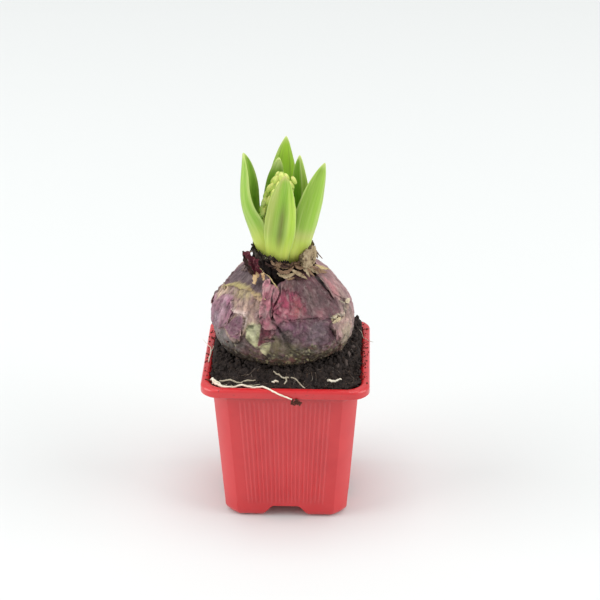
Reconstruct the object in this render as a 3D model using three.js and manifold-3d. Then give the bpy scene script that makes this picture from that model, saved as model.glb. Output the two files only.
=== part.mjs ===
// A potted hyacinth: a forced bulb with its first leaves and green flower bud, standing in
// potting soil in a square ribbed plastic pot. Millimetres, +Z up, origin on the ground under
// the middle of the pot, with the viewer's side at -Y.
import * as THREE from "three";
import { ImprovedNoise } from "three/addons/math/ImprovedNoise.js";
import { mergeVertices } from "three/addons/utils/BufferGeometryUtils.js";
import Module from "manifold-3d";

const wasm = await Module();
wasm.setup();

// Driving dimensions of the pot
const POT_HEIGHT = 65;
const RIM_HALF = 35; // half the outer width across the rim
const RIM_CORNER = 8;
const RIM_HEIGHT = 4.5;
const RIM_EDGE = 1.2; // wall of the rim's downturned skirt
const RIM_TOP_WIDTH = 3.2;
const WALL = 1.3;
const FOOT_HALF = 25.7; // half the body's width, on the ground
const SHOULDER_HALF = 30.05; // half the body's width, just under the rim
const SHOULDER_Z = 58;
const CHAMFER_LOW = 5.4;
const CHAMFER_HIGH = 6.15;
const BASE_FILLET = 3;
const ARCH_HEIGHT = 4.3; // arched gap between two feet
const ARCH_FOOT_HALF = 10.6;
const ARCH_TOP_HALF = 5;
const DRAIN_RADIUS = 3;
const DRAIN_OFFSET = 15;
const RIB_COUNT = 20;
const RIB_SPREAD_LOW = 15.7; // outermost rib from the middle of a side, low down
const RIB_SPREAD_HIGH = 18.6;
const RIB_LOW_Z = 7.5;
const RIB_HIGH_Z = 57.6;
const RIB_HALF = 0.5;
const RIB_PROUD = 0.4;

// Clearance between two pieces that touch on the real thing
const SEAT = 0.35;

// Driving dimensions of the plant
const BULB_X = -1.9;
const BULB_Y = 3;
const BULB_PROFILE = [
  // height, radius under the loose layers of skin
  [57, 8.2], [60, 13], [64, 18], [68, 23], [72, 27.2], [76, 29.2], [80, 29.8], [84, 29.4],
  [88, 28.3], [92, 26.3], [96, 23.3], [100, 19.8], [103, 15.8], [105.5, 13], [108, 11.7],
];
const BULB_TOP = BULB_PROFILE[BULB_PROFILE.length - 1][0];
const BULB_SEGMENTS = 40;
const BULB_LEVELS = 14;
const NECK_FLARE = 12.6; // radius of its top edge
const NECK_CUP_RADIUS = 9.8; // the hole that the leaves stand in
const NECK_CUP_FLOOR = 100;
const NECK_TOP = 113.6;
const NECK_DIP = 3.4; // how much lower its edge is at the front
const SOIL_EDGE_Z = 63.9;
const SOIL_MOUND = 5.8; // how far the soil is heaped up round the bulb

const SQUARE_SIDES = 4;
const CORNER_STEPS = 5;
const UP = new THREE.Vector3(0, 0, 1);
const perlin = new ImprovedNoise();

const mix = THREE.MathUtils.lerp;
const radians = THREE.MathUtils.degToRad;

// Soft step from 0 at one value to 1 at the other, which may be the smaller one.
function smooth(from, to, value) {
  const share = THREE.MathUtils.clamp((value - from) / (to - from), 0, 1);
  return share * share * (3 - 2 * share);
}

// Straight-line value of a table of [height, value] rows.
function tableValue(table, at) {
  const next = table.findIndex(([height]) => height >= at);
  if (next === 0) return table[0][1];
  if (next < 0) return table[table.length - 1][1];
  const [low, high] = [table[next - 1], table[next]];
  return mix(low[1], high[1], (at - low[0]) / (high[0] - low[0]));
}

// Closed skin over rings of equally many points, each ring running counter-clockwise from above.
function loft(rings) {
  const count = rings[0].length;
  const points = rings.flat();
  const faces = [];
  for (let ring = 0; ring + 1 < rings.length; ring++) {
    for (let i = 0; i < count; i++) {
      const a = ring * count + i;
      const b = ring * count + ((i + 1) % count);
      faces.push(a, b, b + count, a, b + count, a + count);
    }
  }
  const cap = (ring, flip) => {
    const centre = new THREE.Vector3();
    rings[ring].forEach((point) => centre.addScaledVector(point, 1 / count));
    points.push(centre);
    for (let i = 0; i < count; i++) {
      const a = ring * count + i;
      const b = ring * count + ((i + 1) % count);
      faces.push(points.length - 1, ...(flip ? [b, a] : [a, b]));
    }
  };
  cap(0, true);
  cap(rings.length - 1, false);
  return new THREE.BufferGeometry().setFromPoints(points).setIndex(faces);
}

function solid(geometry) {
  const bare = geometry.clone();
  bare.deleteAttribute("normal");
  bare.deleteAttribute("uv");
  const merged = mergeVertices(bare, 1e-4);
  return new wasm.Manifold(
    new wasm.Mesh({
      numProp: 3,
      vertProperties: merged.attributes.position.array,
      triVerts: new Uint32Array(merged.index.array),
    }),
  );
}

const fuse = (solids) => solids.reduce((whole, piece) => whole.add(piece));

// The largest connected body of a solid: cutting can leave loose scraps.
function mainBody(shape) {
  return shape.decompose().reduce((a, b) => (a.volume() > b.volume() ? a : b));
}

function node(name, shape, colour, roughness) {
  const { numProp, vertProperties, triVerts } = shape.getMesh();
  const positions = new Float32Array((vertProperties.length / numProp) * 3);
  for (let i = 0; i < positions.length / 3; i++) {
    positions.set(vertProperties.subarray(i * numProp, i * numProp + 3), i * 3);
  }
  const geometry = new THREE.BufferGeometry()
    .setAttribute("position", new THREE.BufferAttribute(positions, 3))
    .setIndex(new THREE.BufferAttribute(triVerts, 1));
  geometry.computeVertexNormals();
  const material = new THREE.MeshStandardMaterial({ color: colour, roughness, metalness: 0 });
  const mesh = new THREE.Mesh(geometry, material);
  mesh.name = name;
  return mesh;
}

// Pot

// A square ring whose corners run from a plain chamfer (arc 0) to a quarter circle (arc 1).
function squareRing(half, corner, z, arc) {
  const points = [];
  for (let side = 0; side < SQUARE_SIDES; side++) {
    for (let step = 0; step <= CORNER_STEPS; step++) {
      const share = step / CORNER_STEPS;
      const turn = (share * Math.PI) / 2;
      const x = mix(half - corner * share, half - corner + corner * Math.cos(turn), arc);
      const y = mix(half - corner + corner * share, half - corner + corner * Math.sin(turn), arc);
      points.push(new THREE.Vector3(x, y, z).applyAxisAngle(UP, (side * Math.PI) / 2));
    }
  }
  return points;
}

const bodyHalf = (z) => mix(FOOT_HALF, SHOULDER_HALF, z / SHOULDER_Z);
const bodyChamfer = (z) => mix(CHAMFER_LOW, CHAMFER_HIGH, z / SHOULDER_Z);

// Rings of a tapered body from its rounded base up to the shoulder, moved in by inset.
function bodyRings(inset, floorZ) {
  const fillet = BASE_FILLET - inset / 2;
  const steps = 4;
  const rings = [];
  for (let step = 0; step <= steps; step++) {
    const turn = ((step / steps) * Math.PI) / 2;
    const z = floorZ + fillet * (1 - Math.cos(turn));
    const half = bodyHalf(z) - inset - fillet * (1 - Math.sin(turn));
    rings.push(squareRing(half, bodyChamfer(z) - inset * 0.6, z, 0.25));
  }
  rings.push(squareRing(bodyHalf(SHOULDER_Z) - inset, CHAMFER_HIGH - inset * 0.6, SHOULDER_Z, 0.25));
  return rings;
}

// The channel under the pot between its feet, along X, as an extruded arch grown by a margin.
function footChannel(margin) {
  const bottom = -5;
  const top = ARCH_HEIGHT + margin;
  const low = ARCH_FOOT_HALF + margin;
  const high = ARCH_TOP_HALF + margin;
  const arch = new THREE.Shape();
  arch.moveTo(-low, bottom);
  arch.lineTo(low, bottom);
  arch.lineTo(low, 0);
  arch.bezierCurveTo(low - 3, 0.2, high + 1.6, top, high, top);
  arch.lineTo(-high, top);
  arch.bezierCurveTo(-high - 1.6, top, -low + 3, 0.2, -low, 0);
  const length = 2 * RIM_HALF + 10;
  const bar = new THREE.ExtrudeGeometry(arch, { depth: length, bevelEnabled: false, curveSegments: 4 });
  bar.translate(0, 0, -length / 2);
  bar.rotateX(Math.PI / 2);
  return solid(bar);
}

function footChannels(margin) {
  const channel = footChannel(margin);
  return channel.add(channel.rotate([0, 0, 90]));
}

function potCavity(inset, top) {
  const rimInner = RIM_HALF - RIM_TOP_WIDTH;
  const grow = WALL - inset;
  const rings = bodyRings(inset, inset);
  rings.push(squareRing(SHOULDER_HALF + 0.75 - inset, CHAMFER_HIGH, 60.5, 0.5));
  rings.push(squareRing(rimInner - 0.9 + grow, 6.4, 63.6, 0.8));
  rings.push(squareRing(rimInner - 0.55 + grow, 6.6, 64.5, 0.9));
  rings.push(squareRing(rimInner + grow, 6.8, POT_HEIGHT + 0.02, 0.9));
  rings.push(squareRing(rimInner + grow, 6.8, top, 0.9));
  return solid(loft(rings)).subtract(footChannels(inset));
}

function rib(position) {
  const station = (z, proud) => {
    const x = position * mix(RIB_SPREAD_LOW, RIB_SPREAD_HIGH, (z - RIB_LOW_Z) / (RIB_HIGH_Z - RIB_LOW_Z));
    const wall = bodyHalf(z);
    return [
      new THREE.Vector3(x - RIB_HALF, -wall + RIB_PROUD, z),
      new THREE.Vector3(x - RIB_HALF / 2, -wall - proud, z),
      new THREE.Vector3(x + RIB_HALF / 2, -wall - proud, z),
      new THREE.Vector3(x + RIB_HALF, -wall + RIB_PROUD, z),
    ];
  };
  return solid(loft([station(RIB_LOW_Z, RIB_PROUD), station(RIB_HIGH_Z, RIB_PROUD)]));
}

function pot() {
  const rings = bodyRings(0, 0);
  rings.push(squareRing(SHOULDER_HALF + 0.75, CHAMFER_HIGH, 60.5, 0.5));
  rings.push(squareRing(RIM_HALF - RIM_TOP_WIDTH, 6.8, 63.7, 0.8));
  rings.push(squareRing(RIM_HALF - RIM_EDGE, RIM_CORNER - 0.8, 63.7, 1));
  rings.push(squareRing(RIM_HALF - RIM_EDGE, RIM_CORNER - 0.8, POT_HEIGHT - RIM_HEIGHT, 1));
  rings.push(squareRing(RIM_HALF, RIM_CORNER, POT_HEIGHT - RIM_HEIGHT, 1));
  rings.push(squareRing(RIM_HALF, RIM_CORNER, POT_HEIGHT - 1, 1));
  rings.push(squareRing(RIM_HALF - 0.3, RIM_CORNER, POT_HEIGHT - 0.3, 1));
  rings.push(squareRing(RIM_HALF - 1, RIM_CORNER - 0.4, POT_HEIGHT, 1));
  rings.push(squareRing(RIM_HALF - RIM_TOP_WIDTH - 0.4, 6.8, POT_HEIGHT, 0.9));
  let shape = solid(loft(rings));
  for (let side = 0; side < SQUARE_SIDES; side++) {
    for (let i = 0; i < RIB_COUNT; i++) {
      const position = (2 * i) / (RIB_COUNT - 1) - 1;
      shape = shape.add(rib(position).rotate([0, 0, 90 * side]));
    }
  }
  shape = shape.subtract(footChannels(0)).subtract(potCavity(WALL, POT_HEIGHT + 2));
  const drain = new THREE.CylinderGeometry(DRAIN_RADIUS, DRAIN_RADIUS, 20, 16).rotateX(Math.PI / 2);
  for (const [x, y] of [[0, 0], [1, 0], [-1, 0], [0, 1], [0, -1]]) {
    shape = shape.subtract(solid(drain).translate([x * DRAIN_OFFSET, y * DRAIN_OFFSET, 0]));
  }
  return mainBody(shape);
}

// Bulb

// Torn layers of papery skin. Each is an outline of [degrees round the bulb, height] corners,
// standing proud by its thickness; -90 degrees faces the viewer.
const SKIN_LAYERS = [
  { proud: 1.1, outline: [[-113, 103.6], [-86, 102], [-64, 101], [-34, 104], [-31, 97], [-14, 91], [-24, 87],
    [-40, 89], [-50, 85], [-40, 76], [-60, 75], [-76, 82], [-98, 92], [-100, 98]] },
  { proud: 0.7, outline: [[-110, 99], [-99, 101], [-96, 94], [-91, 88], [-98, 85], [-101, 80], [-108, 80], [-105, 88],
    [-112, 94]] },
  { proud: 0.6, outline: [[-186, 93], [-167, 98], [-132, 100], [-112, 98.5], [-112, 91], [-118, 86], [-126, 78],
    [-150, 76], [-186, 80]] },
  { proud: 1.2, outline: [[-182, 90], [-167, 94], [-151, 96], [-139, 93], [-138, 89], [-144, 85], [-166, 81],
    [-180, 83]] },
  { proud: 1.0, outline: [[-136, 91.5], [-123, 92], [-122, 87], [-127, 82], [-134, 81], [-142, 84], [-139, 88]] },
  { proud: 0.8, outline: [[-176, 103], [-150, 104.5], [-120, 104], [-116, 101.5], [-136, 102], [-168, 100]] },
  { proud: 1.2, outline: [[-27, 104], [4, 105], [34, 104], [40, 90], [36, 75], [6, 74], [-26, 75], [-32, 82],
    [-10, 86], [-8, 92], [-26, 98]] },
  { proud: 0.7, outline: [[44, 103], [88, 105], [112, 102], [104, 84], [84, 74.5], [58, 74], [42, 80]] },
  { proud: 1.1, outline: [[98, 104], [140, 105], [170, 103], [166, 88], [158, 78], [124, 75.5], [108, 82], [116, 94]] },
  { proud: 1.2, outline: [[60, 90], [80, 93], [92, 86], [76, 78], [62, 82]] },
];
const SKIN_STEP = 2.6; // spacing of the points along a torn edge
const SKIN_TEAR = 1.1;
const SKIN_ROOT = 11.2; // where a layer's wedge starts inside the bulb
const SKIN_REACH = 60;
const SKIN_FINENESS = 0.1; // bumps under this are left out

// A wedge from inside the bulb outwards whose cross-section is one ragged outline.
function skinWedge(outline, seed) {
  const rim = [];
  const mean = 28; // turns degrees into millimetres along the skin
  outline.forEach(([degrees, z], i) => {
    const [nextDegrees, nextZ] = outline[(i + 1) % outline.length];
    const length = Math.hypot(radians(nextDegrees - degrees) * mean, nextZ - z);
    const steps = Math.max(1, Math.round(length / SKIN_STEP));
    for (let step = 0; step < steps; step++) {
      const share = step / steps;
      const jitter = SKIN_TEAR * perlin.noise(seed * 9.7, i * 3.3 + 0.4, step * 0.83 + 0.5);
      const turn = mix(degrees, nextDegrees, share) + THREE.MathUtils.radToDeg((2 * jitter) / mean);
      const height = mix(z, nextZ, share) + 1.6 * jitter * Math.cos(i + step);
      rim.push(new THREE.Vector2(turn, height));
    }
  });
  if (THREE.ShapeUtils.isClockWise(rim)) rim.reverse();
  const at = (radius) => rim.map(({ x, y }) => new THREE.Vector3(
    BULB_X + radius * Math.cos(radians(x)), BULB_Y + radius * Math.sin(radians(x)), y));
  const faces = [];
  const count = rim.length;
  for (let i = 0; i < count; i++) {
    const next = (i + 1) % count;
    faces.push(i, next, next + count, i, next + count, i + count);
  }
  for (const [a, b, c] of THREE.ShapeUtils.triangulateShape(rim, [])) {
    faces.push(a, c, b, a + count, b + count, c + count);
  }
  return solid(new THREE.BufferGeometry().setFromPoints([...at(SKIN_ROOT), ...at(SKIN_REACH)]).setIndex(faces));
}

function bulbRadius(degrees, z, proud = 0) {
  const round = tableValue(BULB_PROFILE, z);
  const spread = smooth(108, 98, z);
  const [x, y] = [Math.cos(radians(degrees)), Math.sin(radians(degrees))];
  const dents = 0.9 * perlin.noise(x * 2, y * 2, z / 14);
  const ridges = 0.14 * Math.sin(radians(degrees) * 26 + 4 * perlin.noise(x * 3, y * 3, z / 9));
  return round + proud + spread * (dents + ridges);
}

// Ragged height of the dry neck, lowest at the front.
function neckTop(degrees) {
  const tips = 2.2 * perlin.noise(Math.cos(radians(degrees)) * 5, Math.sin(radians(degrees)) * 5, 1.7);
  return NECK_TOP + tips - NECK_DIP * smooth(0.45, 0.98, Math.cos(radians(degrees + 68)));
}

function bulbRing(radiusAt, heightAt, segments) {
  const points = [];
  for (let i = 0; i < segments; i++) {
    const degrees = (i * 360) / segments;
    const z = heightAt(degrees);
    const radius = radiusAt(degrees, z);
    points.push(new THREE.Vector3(
      BULB_X + radius * Math.cos(radians(degrees)), BULB_Y + radius * Math.sin(radians(degrees)), z));
  }
  return points;
}

function bulbSkin(proud, lowest, highest, levels, segments) {
  const rings = [];
  for (let level = 0; level <= levels; level++) {
    const z = mix(lowest, highest, level / levels);
    rings.push(bulbRing((degrees) => bulbRadius(degrees, z, proud), () => z, segments));
  }
  return rings;
}

function bulb() {
  const segments = BULB_SEGMENTS;
  const rings = bulbSkin(0, BULB_PROFILE[0][0], BULB_TOP, BULB_LEVELS, segments);
  const wave = (degrees) => 0.35 * Math.sin(radians(degrees) * 7);
  const neck = (degrees) => NECK_FLARE + wave(degrees);
  rings.push(bulbRing(neck, neckTop, segments));
  rings.push(bulbRing((degrees) => neck(degrees) - 0.9, neckTop, segments));
  rings.push(bulbRing(() => NECK_CUP_RADIUS + 0.5, () => 106, segments));
  rings.push(bulbRing(() => NECK_CUP_RADIUS, () => NECK_CUP_FLOOR, segments));
  let shape = solid(loft(rings));
  SKIN_LAYERS.forEach(({ proud, outline }, seed) => {
    const skin = solid(loft(bulbSkin(proud, 64, 106, 9, 32)));
    shape = shape.add(skin.intersect(skinWedge(outline, seed)));
  });
  return mainBody(shape.simplify(SKIN_FINENESS));
}

// The bulb's outline grown by a gap: the hole that the soil leaves for it.
function bulbSocket(gap) {
  const [lowest, radius] = BULB_PROFILE[0];
  const rings = bulbSkin(gap + 0.2, lowest, BULB_TOP, BULB_LEVELS, BULB_SEGMENTS);
  rings.unshift(bulbRing(() => radius + gap, () => lowest - gap, BULB_SEGMENTS));
  return solid(loft(rings));
}

// Soil

function soilHeight(x, y) {
  const fromBulb = Math.hypot(x - BULB_X, y - BULB_Y);
  const mound = SOIL_MOUND * smooth(35.5, 25, fromBulb);
  const heap = 6.5 * Math.exp(-((x - 28) ** 2 + (y - 24) ** 2) / 90);
  const lumps = 1.5 * perlin.noise(x / 6.5, y / 6.5, 0.4) + 0.9 * perlin.noise(x / 2.7, y / 2.7, 5.2);
  return SOIL_EDGE_Z + mound + heap + lumps;
}

// The highest soil round a point, for what lies on top.
function soilTop(x, y, reach) {
  let top = soilHeight(x, y);
  for (let i = 0; i < 8; i++) {
    const turn = (i * Math.PI) / 4;
    top = Math.max(top, soilHeight(x + reach * Math.cos(turn), y + reach * Math.sin(turn)));
  }
  return top;
}

function soilSurface() {
  const half = 34;
  const cells = 24;
  const grid = new THREE.BoxGeometry(2 * half, 2 * half, 20, cells, cells, 1);
  const position = grid.attributes.position;
  for (let i = 0; i < position.count; i++) {
    const top = position.getZ(i) > 0;
    position.setZ(i, top ? soilHeight(position.getX(i), position.getY(i)) : 40);
  }
  return solid(grid);
}

function soilCrumbs() {
  const count = 34;
  const golden = 2.399963;
  const crumbs = [];
  for (let i = 0; i < count; i++) {
    const radius = 23.5 + 8.5 * Math.sqrt((i + 0.5) / count);
    const x = BULB_X + radius * Math.cos(i * golden);
    const y = BULB_Y + radius * Math.sin(i * golden);
    if (Math.max(Math.abs(x), Math.abs(y)) > 28.6) continue;
    if (x < -9 && y < -20) continue; // bare soil under the roots
    const size = 1 + 0.9 * Math.abs(perlin.noise(i * 1.7, 0.5, 2.5));
    const crumb = new THREE.IcosahedronGeometry(size, 0);
    crumb.rotateX(i).rotateZ(i * 2);
    crumbs.push(solid(crumb).translate([x, y, soilHeight(x, y) + size * 0.15]));
  }
  return fuse(crumbs);
}

function soil() {
  const filling = potCavity(WALL + SEAT, 80);
  const lower = solid(new THREE.BoxGeometry(80, 80, 60).translate(0, 0, 30.1));
  const heaped = soilSurface().add(soilCrumbs());
  const bedded = Object.values(ROOTS).map((tubes) => rootSolid(tubes, SEAT));
  return mainBody(filling.intersect(lower.add(heaped)).subtract(bulbSocket(SEAT)).subtract(fuse(bedded)));
}

// Papery collar round the neck

function neckCollar() {
  const segments = 40;
  const thick = 0.8;
  const ragged = (degrees) =>
    112.8 + 2.2 * perlin.noise(Math.cos(radians(degrees)) * 4 + 7, Math.sin(radians(degrees)) * 4, 0.2)
    - 2.6 * smooth(0.4, 0.98, Math.cos(radians(degrees + 74)));
  const pleat = (degrees) => 0.4 * Math.sin(radians(degrees) * 9 + 1) + 0.25 * Math.sin(radians(degrees) * 17);
  const levels = [
    [106.4, 0, 16], [107.3, 0, 15.2], [108.2, 0.3, 14.9], [109, 0.6, 14.7], [0, 1, 14.3],
  ];
  const ringAt = ([z, share, radius], inset) => bulbRing(
    (degrees) => radius + pleat(degrees) * smooth(103, 108, z || 112) - inset,
    (degrees) => (share === 1 ? ragged(degrees) : z + share * (ragged(degrees) - 109)),
    segments);
  const outside = levels.map((level) => ringAt(level, 0));
  const inside = levels.map((level) => ringAt(level, thick)).reverse();
  return ringShell([...outside, ...inside]);
}

// A skin over rings that close on themselves, as a tube wall with no caps.
function ringShell(rings) {
  const count = rings[0].length;
  const faces = [];
  for (let ring = 0; ring < rings.length; ring++) {
    const above = ((ring + 1) % rings.length) * count;
    for (let i = 0; i < count; i++) {
      const next = (i + 1) % count;
      const a = ring * count + i;
      const b = ring * count + next;
      faces.push(a, b, above + next, a, above + next, above + i);
    }
  }
  return solid(new THREE.BufferGeometry().setFromPoints(rings.flat()).setIndex(faces));
}

// Blades: leaves and dry flaps

// A blade along a curve, arched across its width; its hollow side faces as facing says.
function blade({ path, facing, width, arch, thick, stations = 14, across = 6, edge = 0.6 }) {
  const curve = new THREE.CatmullRomCurve3(path.map((point) => new THREE.Vector3(...point)), false, "centripetal");
  const rings = [];
  for (let station = 0; station <= stations; station++) {
    const share = station / stations;
    const centre = curve.getPointAt(share);
    const along = curve.getTangentAt(share);
    const side = new THREE.Vector3().crossVectors(along, facing(share)).normalize();
    const normal = new THREE.Vector3().crossVectors(side, along).normalize();
    const half = width(share);
    const bend = arch(share);
    const outer = [];
    const inner = [];
    for (let i = 0; i <= across; i++) {
      const lateral = (2 * i) / across - 1;
      const turn = lateral * bend;
      const point = centre.clone().addScaledVector(side, (half * Math.sin(turn)) / bend)
        .addScaledVector(normal, (half * (1 - Math.cos(turn))) / bend);
      const depth = mix(thick(share), Math.min(edge, thick(share)), lateral * lateral) / 2;
      const out = side.clone().multiplyScalar(Math.sin(turn)).addScaledVector(normal, -Math.cos(turn));
      outer.push(point.clone().addScaledVector(out, depth));
      inner.push(point.clone().addScaledVector(out, -depth));
    }
    rings.push([...outer, ...inner.reverse()]);
  }
  const shape = solid(loft(rings));
  return shape.volume() > 0 ? shape : solid(loft(rings.map((ring) => ring.reverse())));
}

// Leaves: the angle and radius at which the foot stands round the flower stem, the middle of the
// blade, its tip, half its widths at the foot and the middle, and the way its hollow side looks.
const LEAVES = [
  { name: "leaf_left", angle: 176, foot: 8.3, base: 4.8, half: 7.4, arch: 1.15, blunt: 2.4, look: [0.95, -0.3],
    knee: [-12.9, 3.6, 116.5], belly: [-17.2, 3.6, 132], tip: [-17.9, 3.4, 154.6] },
  { name: "leaf_front", angle: -113, foot: 8.3, base: 4.9, half: 7.5, arch: 0.8, blunt: 2.6, look: [0.1, 1],
    knee: [-5.0, -6.4, 113.5], belly: [-3.4, -8.4, 129], tip: [-1.6, -5.6, 148.4] },
  { name: "leaf_right", angle: -36, foot: 8.15, base: 4.8, half: 6.6, arch: 0.8, blunt: 2.2, look: [-0.5, 0.85],
    knee: [7.0, -3.2, 114.5], belly: [10, -3.4, 130], tip: [15.4, 0.4, 150.6] },
  { name: "leaf_back", angle: 82, foot: 8.3, base: 4.9, half: 8, arch: 0.75, blunt: 1.8, look: [0, -1],
    knee: [-1, 13.1, 114], belly: [-2.2, 17, 133], tip: [-0.8, 12.4, 158.6] },
  { name: "leaf_back_right", angle: 24, foot: 6.2, base: 3, half: 4.6, arch: 0.8, blunt: 3, look: [-0.35, -0.93],
    knee: [4.4, 7.6, 113], belly: [5.6, 9.8, 133], tip: [4.9, 8, 152] },
  { name: "leaf_inner_left", angle: 136, foot: 6.2, base: 3, half: 4.5, arch: 0.7, blunt: 4, look: [0.25, -0.97],
    knee: [-6.8, 9.6, 113], belly: [-6.8, 12.7, 132], tip: [-3.6, 7.6, 151] },
];

function leaf({ angle, foot, base, half, arch, blunt, look, knee, belly, tip }) {
  const outward = new THREE.Vector3(Math.cos(radians(angle)), Math.sin(radians(angle)), 0);
  const at = (radius, z) => [BULB_X + radius * outward.x, BULB_Y + radius * outward.y, z];
  const looking = new THREE.Vector3(...look, 0).normalize();
  const taper = (share) => (1 - Math.min(0.985, Math.max(0, (share - 0.45) / 0.55)) ** blunt) ** 0.8;
  return blade({
    path: [at(foot, NECK_CUP_FLOOR + SEAT), at(foot, 106), knee, belly, tip],
    facing: (share) => outward.clone().negate().lerp(looking, smooth(0.2, 0.65, share)),
    width: (share) => mix(base, half, smooth(0.15, 0.5, share)) * taper(share),
    arch: (share) => mix(base / foot, arch, smooth(0.15, 0.5, share)),
    thick: (share) => mix(1.3, 0.8, smooth(0.4, 1, share)),
  });
}

// Flower bud

const BUD_PROFILE = [
  // height, radius of the core under the florets
  [100.4, 3.2], [110, 3.4], [115, 4.4], [121, 5.9], [127, 6.5], [133, 6.1], [139, 5.2], [143.5, 3.6], [146.4, 1.2],
];

function floret(index, count) {
  const golden = radians(137.508);
  const share = (index + 0.5) / count;
  const z = mix(116, 144.4, share);
  const radius = tableValue(BUD_PROFILE, z);
  const size = mix(2.1, 1.4, share);
  const pod = new THREE.SphereGeometry(1, 6, 3);
  pod.rotateX(Math.PI / 2).scale(size * 0.75, size, size * 1.8);
  pod.rotateY(mix(-0.1, -0.55, share));
  pod.translate(radius - size * 0.15, 0, 0).rotateZ(index * golden);
  return solid(pod).translate([BULB_X + budLean(z), BULB_Y, z]);
}

// How far the flower head leans to the left of its foot.
const budLean = (z) => -1.5 * smooth(106, 122, z) + 0.9 * smooth(132, 147, z);

function flowerBud() {
  const segments = 12;
  const rings = BUD_PROFILE.map(([z, radius]) => bulbRing(() => radius, () => z, segments)
    .map((point) => point.setX(point.x + budLean(z))));
  const florets = 32;
  const pods = Array.from({ length: florets }, (_, index) => floret(index, florets));
  return mainBody(fuse([solid(loft(rings)), ...pods]));
}

// Roots

// A tube through points with one radius for each, closed at both ends, grown all round.
function rootTube({ points, radii, sides = 6 }, grow) {
  const curve = new THREE.CatmullRomCurve3(points.map((point) => new THREE.Vector3(...point)), false, "centripetal");
  const steps = (points.length - 1) * 3;
  const radiusTable = radii.map((value, i) => [i / (radii.length - 1), value]);
  const rings = [];
  for (let step = 0; step <= steps; step++) {
    const share = step / steps;
    const along = curve.getTangent(share);
    const stretch = step === 0 ? -grow : step === steps ? grow : 0;
    const centre = curve.getPoint(share).addScaledVector(along, stretch);
    const side = new THREE.Vector3().crossVectors(along, UP).normalize();
    const up = new THREE.Vector3().crossVectors(side, along).normalize();
    const radius = tableValue(radiusTable, share) + grow;
    const ring = [];
    for (let i = 0; i < sides; i++) {
      const turn = (i * 2 * Math.PI) / sides;
      ring.push(centre.clone().addScaledVector(side, radius * Math.cos(turn))
        .addScaledVector(up, radius * Math.sin(turn)));
    }
    rings.push(ring);
  }
  const shape = solid(loft(rings));
  return shape.volume() > 0 ? shape : solid(loft(rings.map((ring) => ring.reverse())));
}

const rootSolid = (tubes, grow) => fuse(tubes.map((tube) => rootTube(tube, grow)));

// Heights of a root along its way: bedded in the soil, or clear on top of the rim.
function layRoot(route, radius) {
  return route.map(([x, y]) => {
    const corner = 24.6; // where the rim's rounded corners start
    const toWall = 6.6 - Math.hypot(Math.max(Math.abs(x) - corner, 0), Math.max(Math.abs(y) - corner, 0));
    const onRim = toWall < radius + SEAT + 0.3;
    const bedded = soilTop(x, y, 0.8) + radius * 0.2;
    return [x, y, onRim ? Math.max(bedded, POT_HEIGHT + radius + SEAT) : bedded];
  });
}

const LONG_ROOT_DROP = RIM_HALF + 0.62 + SEAT;
const LONG_ROUTE = [[-30.2, -24.6], [-29.3, -27.4], [-27.7, -29.3], [-25.2, -30.2], [-21.2, -30.4], [-17.3, -30.2],
  [-12.6, -31.3]];
const SECOND_ROUTE = [[-27.2, -25.3], [-23.2, -25.9], [-18.5, -26.8], [-14.8, -26.8], [-12.2, -27.5]];
const FORK_ROUTE = [[-4.9, -25.7], [-2.3, -26.4], [1, -26.8], [3.5, -27.4], [6, -28.3], [8.3, -30.1]];
const FORK_SIDE = [[0.4, -26.7], [0.6, -28.3], [-0.5, -30.3]];

const ROOTS = {
  root_long: [{
    points: [
      ...layRoot(LONG_ROUTE, 0.62),
      [-8.4, -32.6, POT_HEIGHT + 1.1],
      [-5.2, -34.6, POT_HEIGHT + 0.9],
      [-2.8, -LONG_ROOT_DROP, 65],
      [0.4, -LONG_ROOT_DROP, 63.4],
      [3.2, -LONG_ROOT_DROP, 62],
    ],
    radii: [0.8, 0.75, 0.6, 0.55, 0.6, 0.6, 0.5],
  }],
  root_second: [{
    points: layRoot(SECOND_ROUTE, 0.5),
    radii: [0.35, 0.5, 0.5, 0.45, 0.3],
  }],
  root_forked: [
    { points: layRoot(FORK_ROUTE, 0.45), radii: [0.45, 0.5, 0.35] },
    { points: layRoot(FORK_SIDE, 0.45), radii: [0.45, 0.45, 0.3] },
  ],
  root_hooked: [{
    points: [[-32.4, 3.4], [-32.6, -0.6], [-32.8, -5.2], [-33, -9.4]].map(([x, y]) => [x, y, POT_HEIGHT + 0.5 + SEAT]),
    radii: [0.3, 0.5, 0.5, 0.25],
  }],
  root_stub: [{
    points: layRoot([[17.7, -25.4], [20.4, -23.7], [23.1, -21.8]], 0.9),
    radii: [0.6, 1.0, 1.25, 1.2, 0.7],
    sides: 8,
  }],
};

// The crumb of soil that the long root carries at its hanging end, clear of the rim's edge.
function rootClod() {
  const clod = new THREE.IcosahedronGeometry(1, 1);
  const position = clod.attributes.position;
  for (let i = 0; i < position.count; i++) {
    const [x, y, z] = [position.getX(i), position.getY(i), position.getZ(i)];
    const lump = 1 + 0.4 * perlin.noise(x * 2.3, y * 2.3, z * 2.3 + 4);
    position.setXYZ(i, x * lump * 2.3, y * lump * 1.25, z * lump * 1.8);
  }
  const rimZ = POT_HEIGHT - RIM_HEIGHT - SEAT;
  const rim = new THREE.BoxGeometry(20, 20, 20).translate(0, 10 - RIM_HALF - SEAT, 10 + rimZ);
  return mainBody(solid(clod).translate([5, -35.4, 60.4]).subtract(solid(rim))
    .subtract(rootSolid(ROOTS.root_long, SEAT)));
}

// Dry flaps that stand off the neck

function leftFlap() {
  return blade({
    path: [[-13.9, -9.9, 104.6], [-14.9, -9.6, 107.6], [-15.7, -8.7, 110.8], [-17.4, -7.5, 113.6]],
    facing: () => new THREE.Vector3(0.45, -0.9, 0),
    width: (share) => mix(2.6, 1.7, share),
    arch: () => 1.1,
    thick: () => 0.7,
    stations: 6,
    across: 4,
  });
}

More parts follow.
